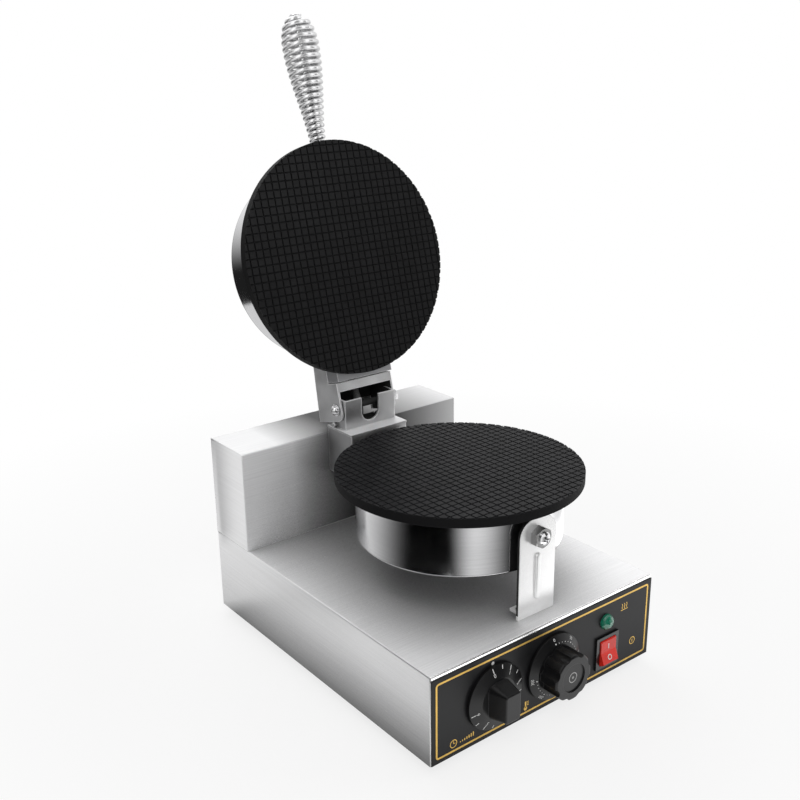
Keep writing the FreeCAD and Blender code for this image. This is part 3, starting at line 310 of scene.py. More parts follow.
def glow(tree, level, kind="Emission"):
    return add(tree, kind, {"Color": WHITE, "Strength": level}).outputs[0]


def either(factor, a, b):
    """One shader or another."""
    return add(factor.id_data, "MixShader", {0: factor, 1: a, 2: b}).outputs[0]


def seen_directly(tree):
    """One for rays of the camera, of reflections and through glass."""
    path = add(tree, "LightPath").outputs
    return most(most(path["Is Camera Ray"], path["Is Glossy Ray"]), path["Is Transmission Ray"])


def inside_box(place, low, high):
    """One inside a box of Object coordinates and zero outside it."""
    mask = 1.0
    for part, a, b in zip(split(place), low, high):
        mask = times(mask, math_node("GREATER_THAN", part, a))
        mask = times(mask, math_node("LESS_THAN", part, b))
    return mask


# Shared effects

def shader_group(name, inputs, outputs):
    """An empty node group with float sockets, or a vector one where no value is given."""
    tree = bpy.data.node_groups.new(name, "ShaderNodeTree")
    for label, value in inputs.items():
        kind = "Vector" if value is None else "Float"
        socket = tree.interface.new_socket(label, in_out="INPUT", socket_type="NodeSocket" + kind)
        if value is not None:
            socket.default_value = value
    for label in outputs:
        tree.interface.new_socket(label, in_out="OUTPUT", socket_type="NodeSocketFloat")
    return tree, tree.nodes.new("NodeGroupInput").outputs, tree.nodes.new("NodeGroupOutput")


def make_brushed_lines():
    """Fine lines along X, and along Y on faces that look sideways, with broad soft clouds."""
    tree, given, result = shader_group(
        "Brushed lines", {"Vector": None, "Fineness": 700.0, "Stretch": 60.0}, ("Lines", "Cloud"))
    place, fine = given["Vector"], given["Fineness"]
    long = math_node("DIVIDE", fine, given["Stretch"])
    both = []
    for x, y in ((long, fine), (fine, long)):
        scale = add(tree, "CombineXYZ", {0: x, 1: y, 2: fine}).outputs[0]
        both.append(noise(vector_math("MULTIPLY", place, scale)[0], 1.0, 3.0, 0.6))
    across = split(add(tree, "TexCoord").outputs["Normal"])[0]
    sideways = math_node("GREATER_THAN", math_node("ABSOLUTE", across), 0.7)
    feed(result, {"Lines": between(sideways, *both), "Cloud": noise(place, 9.0)})


def make_fine_grain():
    """Small even grain with broad soft clouds."""
    _, given, result = shader_group(
        "Fine grain", {"Vector": None, "Scale": 1500.0, "Cloud scale": 30.0}, ("Grain", "Cloud"))
    feed(result, {"Grain": noise(given["Vector"], given["Scale"], 2.0, 0.6),
                  "Cloud": noise(given["Vector"], given["Cloud scale"], 3.0)})


def make_edge_wear_and_highlight():
    """One along convex edges and zero on flat faces, broken up by noise. Finishes lighten these edges, partly
    for wear and partly as a painted highlight.
    """
    tree, given, result = shader_group(
        "Worn edges", {"Vector": None, "Radius": 0.6 * MM, "Patch scale": 300.0}, ("Edge",))
    soft = add(tree, "Bevel", {"Radius": given["Radius"]}, samples=4).outputs[0]
    meet = vector_math("DOT_PRODUCT", soft, add(tree, "NewGeometry").outputs["Normal"])["Value"]
    patch = spread(noise(given["Vector"], given["Patch scale"]), 0.55, 1.0, 0.35, 0.6)
    feed(result, {"Edge": times(spread(meet, 1.0, 0.0, 0.75, 0.99), patch)})


def make_painted_corner_shade():
    """Painted shade: one on open faces, less in corners and beside other pieces, where shade falls."""
    tree, given, result = shader_group("Open air", {"Reach": 0.1, "Shut": 0.3, "Open": 0.85}, ("Clean",))
    free = add(tree, "AmbientOcclusion", {"Distance": given["Reach"]}, samples=8).outputs["AO"]
    feed(result, {"Clean": spread(free, 0.0, 1.0, given["Shut"], given["Open"])})


def use_group(tree, name, inputs):
    made = add(tree, "Group", node_tree=bpy.data.node_groups[name])
    feed(made, inputs)
    return made.outputs


def fine_grain(place, scale, cloud_scale):
    return use_group(place.id_data, "Fine grain", {"Vector": place, "Scale": scale, "Cloud scale": cloud_scale})


def edge_wear_and_highlight(place, radius, patch_scale=300.0):
    return use_group(place.id_data, "Worn edges",
                     {"Vector": place, "Radius": radius, "Patch scale": patch_scale})["Edge"]


def painted_corner_shade(tree, reach, shut, clear):
    return use_group(tree, "Open air", {"Reach": reach, "Shut": shut, "Open": clear})["Clean"]


def front_fold_highlight(place):
    """One on the base's fold above the panel, where the sheet is lightened as a painted highlight."""
    low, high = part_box("base_shell")
    return inside_box(place, (low.x, low.y - 1 * MM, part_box("panel_overlay")[1].z - 1 * MM),
                      (high.x, low.y + 1 * MM, high.z + 1 * MM))


def painted_hinge_shade(place):
    """Painted shade on the tower's top and front, strongest by the hinge and fading to both ends."""
    low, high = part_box("tower_shell")
    across, _, height = split(place)
    on_top = math_node("GREATER_THAN", height, high.z - 0.6 * MM)
    on_front = times(minus(1.0, on_top), inside_box(
        place, (low.x, low.y - 1 * MM, low.z + 0.5 * MM), (high.x, low.y + 0.6 * MM, high.z)))
    return plus(times(on_top, swell(across, *TOP_PAINTED_SHADE)), times(on_front, swell(across, *FRONT_PAINTED_SHADE)))


def swell(across, left, middle, right, spots):
    """Grows from a left level to a middle one and falls to a right one, at four spots in millimetres."""
    a, b, c, d = (spot * MM for spot in spots)
    return math_node("MINIMUM", spread(across, left, middle, a, b), spread(across, middle, right, c, d))


# Finishes

def new_material(name):
    """A new material, its tree and its Object coordinates."""
    material = bpy.data.materials.new(name)
    material.use_nodes = True
    tree = material.node_tree
    return material, tree, add(tree, "TexCoord").outputs["Object"]


def finish(name, kind, *values, closed=False, **more):
    """A material of one kind of finish. On the open lid its pattern lies as if the lid were closed."""
    material, tree, place = new_material(name)
    if closed:
        moved = vector_math("SUBTRACT", place, HINGE)[0]
        turned = add(tree, "VectorRotate", {"Vector": moved, "Angle": LID_OPEN}, rotation_type="X_AXIS")
        place = vector_math("ADD", turned.outputs[0], HINGE)[0]
    feed(tree.nodes["Principled BSDF"], kind(place, *values, **more))
    return material


def brushed_steel(place, look, shut, clear):
    """Brushed steel: fine lines in the colour, gloss and surface, painted shade in corners and by the hinge, a
    painted highlight on the fold above the panel, and edges lightened partly for wear and partly as a painted
    highlight.
    """
    tree, tone = place.id_data, look.steel
    lines = use_group(tree, "Brushed lines", {"Vector": place, "Fineness": 900.0, "Stretch": 90.0})
    edge, fold = edge_wear_and_highlight(place, 1.2 * MM), front_fold_highlight(place)
    body = mottled(lines["Lines"], tone, 0.95, 1.03)
    # Painted shade: darker in corners and beside other pieces.
    body = tint(painted_corner_shade(tree, SHADE_REACH, shut, clear), shade(tone, 0.15), body)
    # Painted shade on the tower by the hinge.
    body = tint(painted_hinge_shade(place), body, shade(tone, 0.02))
    # Painted highlight on the fold above the panel; on edges partly wear, partly painted highlight.
    body = tint(most(edge, fold), body, shade(tone, 1.25))
    sideways = math_node("ABSOLUTE", split(add(tree, "TexCoord").outputs["Normal"])[0])
    gloss = plus(spread(lines["Lines"], -0.02, 0.03, *SWING),
                 spread(sideways, look.steel_rough, look.side_rough, 0.5, 0.9))
    gloss = plus(gloss, spread(lines["Cloud"], -0.03, 0.03, *MIDDLE))
    gloss = times(gloss, spread(edge, 1.0, 0.45))
    gloss = times(gloss, spread(fold, 1.0, 0.35))
    return {"Base Color": body, "Roughness": gloss, "Metallic": 1.0,
            "Normal": bump(lines["Lines"], 0.015, 0.15 * MM, 0.9 * MM)}


def polished_steel(place, look, shaded_rim_z):
    """Polished drum: rings from turning on its wall and flat end, slight smears and painted shade round the
    corner of its end.
    """
    tone, rough = look.polish, look.polish_rough
    low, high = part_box("lower_drum")
    across, along, up = split(place)
    squares = [math_node("POWER", part, 2.0) for part in (across, minus(along, (low.y + high.y) / 2))]
    radius = math_node("SQRT", plus(*squares))
    rings = add(place.id_data, "CombineXYZ", {0: times(across, 20.0), 1: times(along, 20.0),
                                              2: times(plus(up, radius), 1600.0)}).outputs[0]
    line = noise(rings, 1.0, 3.0, 0.6)
    # Painted shade: a dark ring round the corner of the drum's end.
    away = math_node("ABSOLUTE", minus(up, shaded_rim_z))
    rim = (high.x - low.x) / 2
    off_rim = most(spread(away, 0.0, 1.0, 0.5 * MM, 3.0 * MM),
                 spread(radius, 1.0, 0.0, rim - 7.0 * MM, rim - 2.0 * MM))
    gloss = plus(spread(fine_grain(place, 900.0, 22.0)["Cloud"], rough - 0.03, rough + 0.06, *MIDDLE),
                 spread(line, -0.02, 0.03, *SWING))
    return {"Base Color": tint(off_rim, shade(tone, 0.25), mottled(line, tone, 0.95, 1.03)),
            "Roughness": gloss, "Metallic": 1.0, "Normal": bump(line, 0.04, 0.08 * MM)}


def satin_steel(place, tone, rough, dark=None, wear=1.3, rubbed=1.0, reach=20 * MM, bare=1.0, foot=None):
    """Satin sheet with fine grain, soft clouds and cut edges lightened, partly for wear and partly as a painted
    highlight. Upward faces get a painted highlight, a dark box gives an inside painted shade, and the height of
    a foot marks a scuffed lower end."""
    grain = fine_grain(place, 2200.0, 45.0)
    edge = spread(edge_wear_and_highlight(place, 1.6 * MM), 0.0, 1.0, 0.05, 0.5)
    up = split(add(place.id_data, "NewGeometry").outputs["Normal"])[2]
    top = spread(up, 0.0, 1.0, 0.75, 0.95)
    body = mottled(grain["Cloud"], tone, 0.88, 1.06)
    body = tint(spread(grain["Grain"], 0.0, 0.25, 0.4, 0.7), body, shade(tone, 0.7))
    # Painted highlight: upward faces are lightened as if lit from above.
    body = tint(top, body, shade(tone, rubbed))
    # Painted shade: darker in corners and beside other pieces.
    body = tint(painted_corner_shade(place.id_data, reach, 0.1, 0.6), shade(tone, 0.15), body)
    # Edges lightened: partly wear, partly a painted highlight.
    body = tint(edge, body, shade(tone, wear))
    gloss = spread(grain["Cloud"], rough - 0.06, rough + 0.10, *SWING)
    metal = times(spread(top, bare, bare / rubbed ** 2), spread(edge, 1.0, 0.4))
    if foot:
        scuffed = spread(split(place)[2], 1.0, 0.0, foot, foot + 14 * MM)
        gloss = most(gloss, spread(scuffed, 0.0, 0.6))
        metal = times(metal, spread(scuffed, 1.0, 0.3))
    # Painted shade: inside the box the sheet is painted near black, as if in shadow.
    if dark:
        inside = inside_box(place, *dark)
        body = tint(inside, body, PAINTED_SHADE_BLACK)
        gloss = most(gloss, spread(inside, 0.0, 0.75))
        metal = times(metal, spread(inside, 1.0, 0.0))
    return {"Base Color": body, "Roughness": gloss, "Metallic": metal,
            "Normal": bump(grain["Grain"], 0.08, 0.1 * MM, 0.9 * MM)}


def bright_plating(place, tone, rough):
    """Bright plating with faint ripples and small dull spots."""
    grain = fine_grain(place, 1400.0, 160.0)
    return {"Base Color": mottled(grain["Cloud"], tone, 0.9, 1.04, MIDDLE),
            "Roughness": spread(grain["Grain"], rough, rough + 0.10, 0.45, 0.75), "Metallic": 1.0,
            "Normal": bump(grain["Cloud"], 0.05, 0.1 * MM)}


def non_stick_coat(place, tone, face_z, shine):
    """Non-stick coat: grooves darkened as painted shade, rubbed pad tops with edges made pale partly for wear
    and partly as a painted highlight, and fine orange peel.
    """
    grain = fine_grain(place, 1100.0, 60.0)
    depth = math_node("ABSOLUTE", minus(split(place)[2], face_z))
    groove = spread(depth, 0.0, 1.0, 0.2 * MM, 0.8 * MM)
    body = mottled(grain["Cloud"], tone, 0.8, 1.3)
    # Painted shade in the grooves.
    body = tint(groove, body, shade(tone, 0.45))
    # Pad edges made pale: partly wear, partly a painted highlight.
    body = tint(times(edge_wear_and_highlight(place, 0.45 * MM, 220.0), 0.6), body, shade(tone, 4.0))
    gloss = plus(spread(grain["Grain"], 0.38, 0.52, *MIDDLE), spread(groove, 0.0, 0.2))
    return {"Base Color": body, "Roughness": gloss, "Metallic": 0.0, "Specular IOR Level": shine,
            "Normal": bump(grain["Grain"], 0.25, 0.12 * MM)}


def moulded_plastic(place, tone, rough, grain_scale=2600.0, wear=1.8, coat=0.0, shine=0.35):
    """Moulded plastic: fine spark grain, soft gloss clouds and edges lightened, partly for wear and partly as a
    painted highlight.
    """
    grain = fine_grain(place, grain_scale, 80.0)
    body = mottled(grain["Cloud"], tone, 0.85, 1.15)
    # Edges lightened: partly wear, partly a painted highlight.
    body = tint(times(edge_wear_and_highlight(place, 0.5 * MM), 0.5), body, shade(tone, wear))
    return {"Base Color": body, "Roughness": spread(grain["Cloud"], rough - 0.06, rough + 0.08),
            "Metallic": 0.0, "Specular IOR Level": shine, "Coat Weight": coat, "Coat Roughness": 0.08,
            "Normal": bump(grain["Grain"], 0.12, 0.06 * MM, 0.5 * MM)}


def lens_plastic(place, tone):
    """Clear tinted plastic, paler and darker in soft clouds."""
    grain = fine_grain(place, 500.0, 260.0)
    return {"Base Color": mottled(grain["Cloud"], tone, 0.75, 1.5), "Metallic": 0.0, "IOR": 1.49,
            "Roughness": spread(grain["Grain"], 0.08, 0.2), "Transmission Weight": 0.35,
            "Coat Weight": 0.6, "Coat Roughness": 0.05}


def screen_print(place, tone, rough, metal=0.0):
    """Screen print: slight unevenness of the ink."""
    grain = fine_grain(place, 3000.0, 120.0)
    return {"Base Color": mottled(grain["Cloud"], tone, 0.88, 1.08), "Metallic": metal,
            "Roughness": spread(grain["Grain"], rough - 0.05, rough + 0.08)}


def woven_cover(place, tone, scale):
    """Braided heat-proof cover, as small crossed waves."""
    waves = []
    for turn in (0.8, -0.8):
        turned = add(place.id_data, "Mapping", {"Vector": place, "Rotation": (0.5, 0.6, turn)}).outputs[0]
        wave = add(place.id_data, "TexWave", {"Vector": turned, "Scale": scale, "Distortion": 0.6})
        waves.append(wave.outputs[1])
    braid = most(*waves)
    return {"Base Color": tint(braid, shade(tone, 0.5), shade(tone, 1.2)),
            "Roughness": spread(braid, 0.85, 0.65), "Normal": bump(braid, 0.5, 0.2 * MM)}


# Pieces

def dress(material, *nodes):
    """Gives a finish to pieces that keep their solid's shape."""
    for name in nodes:
        cad[name].material_slots[0].material = material


def mesh_of(name, bm):
    """A mesh from a bmesh, which ends here."""
    mesh = bpy.data.meshes.new(name)
    bm.to_mesh(mesh)
    bm.free()
    return mesh


def new_object(name, mesh, material):
    """An object at the origin with one finish."""
    mesh.materials.clear()
    mesh.materials.append(material)
    obj = bpy.data.objects.new(name, mesh)
    bpy.context.scene.collection.objects.link(obj)
    return obj


def piece(name, mesh, material, body, smooth=False):
    """A new piece on a body."""
    mesh.polygons.foreach_set("use_smooth", [smooth] * len(mesh.polygons))
    obj = new_object(name, mesh, material)
    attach(obj, body)
    return obj


def mesh_from(data):
    """A mesh from a curve or a text, which ends here."""
    holder = bpy.data.objects.new(data.name, data)
    mesh = bpy.data.meshes.new_from_object(holder)
    bpy.data.objects.remove(holder)
    bpy.data.curves.remove(data)
    return mesh


def on_panel(x, z, out=0.0):
    """Panel coordinates at a point: X to the right, Y up and Z out of the panel."""
    return Matrix.Translation((x, PANEL_Y - out, z)) @ Matrix(((1, 0, 0), (0, 0, -1), (0, 1, 0))).to_4x4()


def shift(x, y):
    """A move along the print's surface, in millimetres."""
    return Matrix.Translation((x * MM, y * MM, 0))


def lift(height):
    return Matrix.Translation((0, 0, height))


def add_bar(bm, width, height, place):
    """A thin printed bar in millimetres, centred on its place, with its back on the surface."""
    shape = Matrix.Diagonal((width * MM, height * MM, PRINT, 1))
    bmesh.ops.create_cube(bm, size=1.0, matrix=place @ lift(PRINT / 2) @ shape)


def add_dot(bm, radius, place, segments=20):
    """A thin printed dot in millimetres."""
    bmesh.ops.create_cone(bm, cap_ends=True, segments=segments, radius1=radius * MM, radius2=radius * MM,
                          depth=PRINT, matrix=place @ lift(PRINT / 2))


def add_ring(bm, radius, line, place):
    """A thin printed ring in millimetres."""
    edge = bmesh.ops.create_circle(bm, cap_ends=True, segments=40, radius=radius * MM, matrix=place)
    raise_line(bm, edge["verts"][0].link_faces[0], line * MM, place)


def raise_line(bm, face, line, place):
    """Keeps only a line inside the edge of a flat face, and lifts it by the thickness of the print."""
    faces = bmesh.ops.inset_region(bm, faces=[face], thickness=line, use_even_offset=True,
                                   use_boundary=True)["faces"]
    bmesh.ops.delete(bm, geom=[face], context="FACES_ONLY")
    out = place.to_3x3() @ Vector((0, 0, 1))
    bmesh.ops.recalc_face_normals(bm, faces=faces)
    if faces[0].normal.dot(out) < 0:
        bmesh.ops.reverse_faces(bm, faces=faces)
    lifted = bmesh.ops.extrude_face_region(bm, geom=faces)["geom"]
    moved = [v for v in lifted if isinstance(v, bmesh.types.BMVert)]
    bmesh.ops.translate(bm, verts=moved, vec=out.normalized() * PRINT)
    bmesh.ops.delete(bm, geom=faces, context="FACES_ONLY")


def add_text(bm, text, size, place):
    """Adds a number, centred on its place, as a thin raised print."""
    font = bpy.data.curves.new("number", "FONT")
    font.body, font.size, font.extrude = text, size * TYPE_SIZE, PRINT / 2
    font.align_x, font.align_y = "CENTER", "CENTER"
    font.resolution_u = 3
    mesh = mesh_from(font)
    mesh.transform(place @ lift(PRINT))
    bm.from_mesh(mesh)
    bpy.data.meshes.remove(mesh)


def add_arc(bm, centre, radius, start, sweep, steps, low, high):
    """A standing strip bent round a point, from an angle on."""
    at = centre + Matrix.Rotation(math.radians(start), 3, "Z") @ Vector((radius, 0, 0))
    ends = [bm.verts.new((at.x, at.y, z)) for z in (low, high)]
    bmesh.ops.spin(bm, geom=[bm.edges.new(ends), *ends], cent=centre, axis=(0, 0, 1),
                   angle=math.radians(sweep), steps=steps, use_merge=False)


def handle_place():
    """Handle coordinates on the open lid: Z runs from the collar's front to the tip, and X along the hinge."""
    closed = Matrix.Translation(HINGE) @ Matrix.Rotation(LID_OPEN, 4, "X") @ Matrix.Translation(-HINGE)
    collar = [closed @ v.co for v in cad["handle_collar"].data.vertices]
    heights = [v.z for v in collar]
    front = Vector((0, min(v.y for v in collar), (min(heights) + max(heights)) / 2))
    return closed.inverted() @ Matrix.Translation(front) @ Matrix.Rotation(math.pi / 2, 4, "X")


def dial_place(centre, radius, degrees, rim, hub, rise=3.5, foot=3.0):
    """A place on a dial's sloping face, by millimetres: X round the dial, Y to the rim and Z off the face."""
    turn = math.radians(degrees)
    slope = math.atan2(rise, rim - hub)
    out = (foot + (rim - radius) * rise / (rim - hub)) * MM + PRINT / 2
    at = on_panel(centre.x, centre.z) @ shift(radius * math.cos(turn), radius * math.sin(turn)) @ lift(out)
    return at @ Matrix.Rotation(turn - math.pi / 2, 4, "Z") @ Matrix.Rotation(-slope, 4, "X")


# Steps

class CONEMAKER_OT_groups(bpy.types.Operator):
    """Build the shared surface effects"""
    bl_idname = "conemaker.groups"
    bl_label = "Surface Effects"

    def execute(self, context):
        make_brushed_lines()
        make_fine_grain()
        make_edge_wear_and_highlight()
        make_painted_corner_shade()
        return {"FINISHED"}


class CONEMAKER_OT_sheets(bpy.types.Operator):
    """Finish the base, the tower and their covers"""
    bl_idname = "conemaker.sheets"
    bl_label = "Base and Tower"

    def execute(self, context):
        look = context.scene.conemaker_finish
        # The last two numbers give the openness where the painted corner shade is full and where it stops.
        dress(finish("brushed_base", brushed_steel, look, 0.06, 0.76),
              "base_shell", "rear_cover", "bottom_plate")
        dress(finish("brushed_tower", brushed_steel, look, 0.12, 0.52), "tower_shell")
        dress(finish("foot_rubber", moulded_plastic, (0.02, 0.02, 0.02), 0.7, 1800.0, 1.3),
              "rubber_feet", "cord_gland")
        return {"FINISHED"}


class CONEMAKER_OT_drums(bpy.types.Operator):
    """Polish both drums"""
    bl_idname = "conemaker.drums"
    bl_label = "Drums"

    def execute(self, context):
        look = context.scene.conemaker_finish
        low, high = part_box("lower_drum")
        lid_top = high.z + 2 * PLATE + PLATE_GAP + high.z - low.z
        dress(finish("polished_lower", polished_steel, look, low.z), "lower_drum")
        dress(finish("polished_upper", polished_steel, look, lid_top, closed=True), "upper_drum")
        return {"FINISHED"}


class CONEMAKER_OT_plates(bpy.types.Operator):
    """Coat both baking plates"""
    bl_idname = "conemaker.plates"
    bl_label = "Baking Plates"

    def execute(self, context):
        look = context.scene.conemaker_finish
        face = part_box("lower_plate")[1].z
        # Painted light: the lower plate's coat is a lighter copy of the upper one's, as if more lit.
        dress(finish("coat_lower", non_stick_coat, shade(look.coat, 2.6), face, 0.08), "lower_plate")
        dress(finish("coat_upper", non_stick_coat, look.coat, face + PLATE_GAP, 0.15, closed=True),
              "upper_plate")
        return {"FINISHED"}


class CONEMAKER_OT_hinge(bpy.types.Operator):
    """Finish the hinge, the lid arm, the channel and the front leg"""
    bl_idname = "conemaker.hinge"
    bl_label = "Hinge and Leg"

    def execute(self, context):
        look = context.scene.conemaker_finish
        low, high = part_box("hinge_bracket")
        wall, arm_x = 1.95 * MM, high.x + 0.55 * MM
        # Painted shade: the hinge bracket's inside, and the pivot bolt there, are painted black as if in
        # shadow.
        inside = ((wall - high.x, low.y + wall, HINGE.z - 19.2 * MM),
                  (high.x - wall, low.y + 24 * MM, HINGE.z + 11 * MM))
        # Painted shade: the lid arm's inside is painted black as if in shadow.
        arm_painted_shade = ((-arm_x, HINGE.y - 15.8 * MM, HINGE.z - 18 * MM),
                      (arm_x, HINGE.y + 32 * MM, HINGE.z + 29 * MM))
        dress(finish("satin_hinge", satin_steel, look.satin, 0.38, inside, 1.75, rubbed=1.7),
              "rear_channel", "hinge_bracket", "stop_pins")
        # Painted light: the arm's satin steel is a lighter copy of the hinge's, as if more lit.
        dress(finish("satin_arm", satin_steel, shade(look.satin, 1.15), 0.38, arm_painted_shade, 1.5, closed=True),
              "lid_bracket")
        dress(finish("pivot_steel", satin_steel, look.chrome, 0.14, inside), "pivot_bolt")
        dress(finish("cast_block", satin_steel, look.casting, 0.45, wear=2.0, closed=True), "lid_block")
        low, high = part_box("front_leg")
        # Painted shade: the back of the leg and its spacer are painted black as if in shadow.
        back = ((low.x - 1 * MM, low.y + 2.4 * MM, low.z + 4 * MM),
                (high.x + 1 * MM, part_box("leg_spacer")[1].y + 1 * MM, high.z + 1 * MM))
        dress(finish("leg_sheet", satin_steel, look.leg, 0.30, back, 1.0, reach=2 * MM, bare=0.75,
                     foot=low.z + 6 * MM), "front_leg", "leg_spacer")
        self.make_sleeve()
        return {"FINISHED"}

    def make_sleeve(self):
        """The braided sleeve that bends past the hinge line."""
        mesh = cad["hinge_sleeve"].data.copy()
        bm = bmesh.new()
        bm.from_mesh(mesh)
        bmesh.ops.remove_doubles(bm, verts=bm.verts, dist=0.01 * MM)
        bm.to_mesh(mesh)
        bm.free()
        sleeve = new_object("braided_sleeve", mesh, finish("braid", woven_cover, (0.10, 0.10, 0.10), 320.0))
        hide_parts("hinge_sleeve")
        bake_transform(sleeve)


class CONEMAKER_OT_handle(bpy.types.Operator):
    """Wind the handle's wire and finish the rod and the collar"""
    bl_idname = "conemaker.handle"
    bl_label = "Wound Handle"

    def execute(self, context):
        look, size = context.scene.conemaker_finish, context.scene.conemaker_handle
        dress(finish("chrome", bright_plating, look.chrome, 0.05), "handle_rod", "handle_collar", "handle_nut")
        points = self.winding(size)
        curve = bpy.data.curves.new("winding", "CURVE")
        curve.dimensions = "3D"
        curve.bevel_depth, curve.bevel_resolution, curve.resolution_u = size.wire / 2, 4, 3
        curve.use_fill_caps = True
        spline = curve.splines.new("NURBS")
        spline.points.add(len(points) - 1)
        for place, point in zip(spline.points, points):
            place.co = (*point, 1.0)
        spline.order_u, spline.use_endpoint_u = 4, True
        plating = finish("wire_plating", bright_plating, look.wire, 0.25)
        wire = piece("handle_winding", mesh_from(curve), plating, "lid", True)
        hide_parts("handle_coil")
        return {"FINISHED"}

    def winding(self, size):
        """Points of the wire's middle line on the open lid, spaced evenly along the outline."""
        outline = self.outline(size)
        stations = [0.0]
        for (a, r), (b, q) in zip(outline, outline[1:]):
            stations.append(stations[-1] + math.hypot(b - a, q - r))
        place, root = handle_place(), WIRE_START + size.wire / 2
        count = int(TURN_POINTS * size.turns)
        points, k = [], 1
        for step in range(count + 1):
            part = step / count
            station = stations[-1] * part * (1 + size.opening * (part - 1))
            while stations[k] < station and k < len(stations) - 1:
                k += 1
            mix = (station - stations[k - 1]) / (stations[k] - stations[k - 1])
            along, radius = (a + (b - a) * mix for a, b in zip(outline[k - 1], outline[k]))
            turn = 2 * math.pi * size.turns * part
            points.append(place @ Vector((radius * math.cos(turn), radius * math.sin(turn), root + along)))
        return points

    def outline(self, size):
        """The bulb as (along, radius): a long swell from the collar, then a round end."""
        steps, rise = 200, size.bulb_r - size.root_r
        swell = [(size.bulb_at * k / steps, size.root_r + rise * (1 - math.cos(math.pi * k / steps)) / 2)
                 for k in range(steps)]
        last = math.acos((size.tip_r - size.root_r) / rise)
        reach = (size.span - size.bulb_at) / math.sin(last)
        return swell + [(size.bulb_at + reach * math.sin(last * k / steps),
                         size.root_r + rise * math.cos(last * k / steps)) for k in range(steps + 1)]


class CONEMAKER_OT_panel(bpy.types.Operator):
    """Finish the panel film and print its gold border and symbols"""
    bl_idname = "conemaker.panel"
    bl_label = "Front Panel"

    def execute(self, context):
        look, size = context.scene.conemaker_finish, context.scene.conemaker_print
        dress(finish("panel_film", moulded_plastic, look.film, 0.36, 3200.0, 1.6, shine=0.16), "panel_overlay")
        gold = finish("gold_ink", screen_print, look.gold, 0.38, 0.55)
        white = finish("panel_white", screen_print, look.white, 0.5)
        index = bmesh.new()
        add_dot(index, 1.5, on_panel(-63.4 * MM, 75.8 * MM, PRINT / 2), 32)
        for name, bm, ink in (("gold_border", self.border(size), gold), ("timer_index", index, white),
                              ("gold_symbols", self.symbols(), gold)):
            piece(name, mesh_of(name, bm), ink, "base")
        return {"FINISHED"}

    def border(self, size):
        """A line with rounded corners."""
        bm, place = bmesh.new(), on_panel(0, 0)
        corners = [bm.verts.new(place @ Vector((x * size.border_x, z, PRINT / 2))) for x, z in
                   ((-1, size.border_low), (1, size.border_low), (1, size.border_high), (-1, size.border_high))]
        bm.faces.new(corners)
        bmesh.ops.bevel(bm, geom=corners, offset=size.border_corner, segments=6, profile=0.5,
                        affect="VERTICES", material=-1)
        raise_line(bm, bm.faces[:][0], size.border_line, place)
        return bm

    def symbols(self):
        """Plain signs: a clock with growing ticks, a thermometer, a hot plate and an on-off ring."""
        bm, line = bmesh.new(), 0.7
        clock, glass, heat, power = (on_panel(x * MM, z * MM, PRINT / 2) for x, z in
                                     ((-103.0, 21.5), (-26.5, 21.0), (90.0, 69.0), (103.0, 31.0)))
        add_ring(bm, 3.6, line, clock)
        add_bar(bm, line, 2.2, clock @ shift(0, 1.1))
        add_bar(bm, 1.8, line, clock @ shift(0.9, 0))
        for k in range(7):
            tall = 1.0 + 0.45 * k
            add_bar(bm, 1.0, tall, clock @ shift(7 + 2.2 * k, tall / 2 - 2))
        add_bar(bm, 1.5, 6.0, glass @ shift(0, 1.4))
        add_dot(bm, 1.8, glass @ shift(0, -2.2))
        for k in range(3):
            add_bar(bm, 1.6, line, glass @ shift(2.6, 0.4 + 1.5 * k))
        add_bar(bm, 9.0, line, heat @ shift(0, -2.6))
        for k in (-1, 0, 1):
            for up, lean in ((-0.6, 0.5), (1.0, -0.5), (2.6, 0.5)):
                add_bar(bm, line, 1.9, heat @ shift(2.8 * k, up) @ Matrix.Rotation(lean, 4, "Z"))
        add_ring(bm, 3.6, line, power)
        add_bar(bm, line, 3.4, power)
        return bm


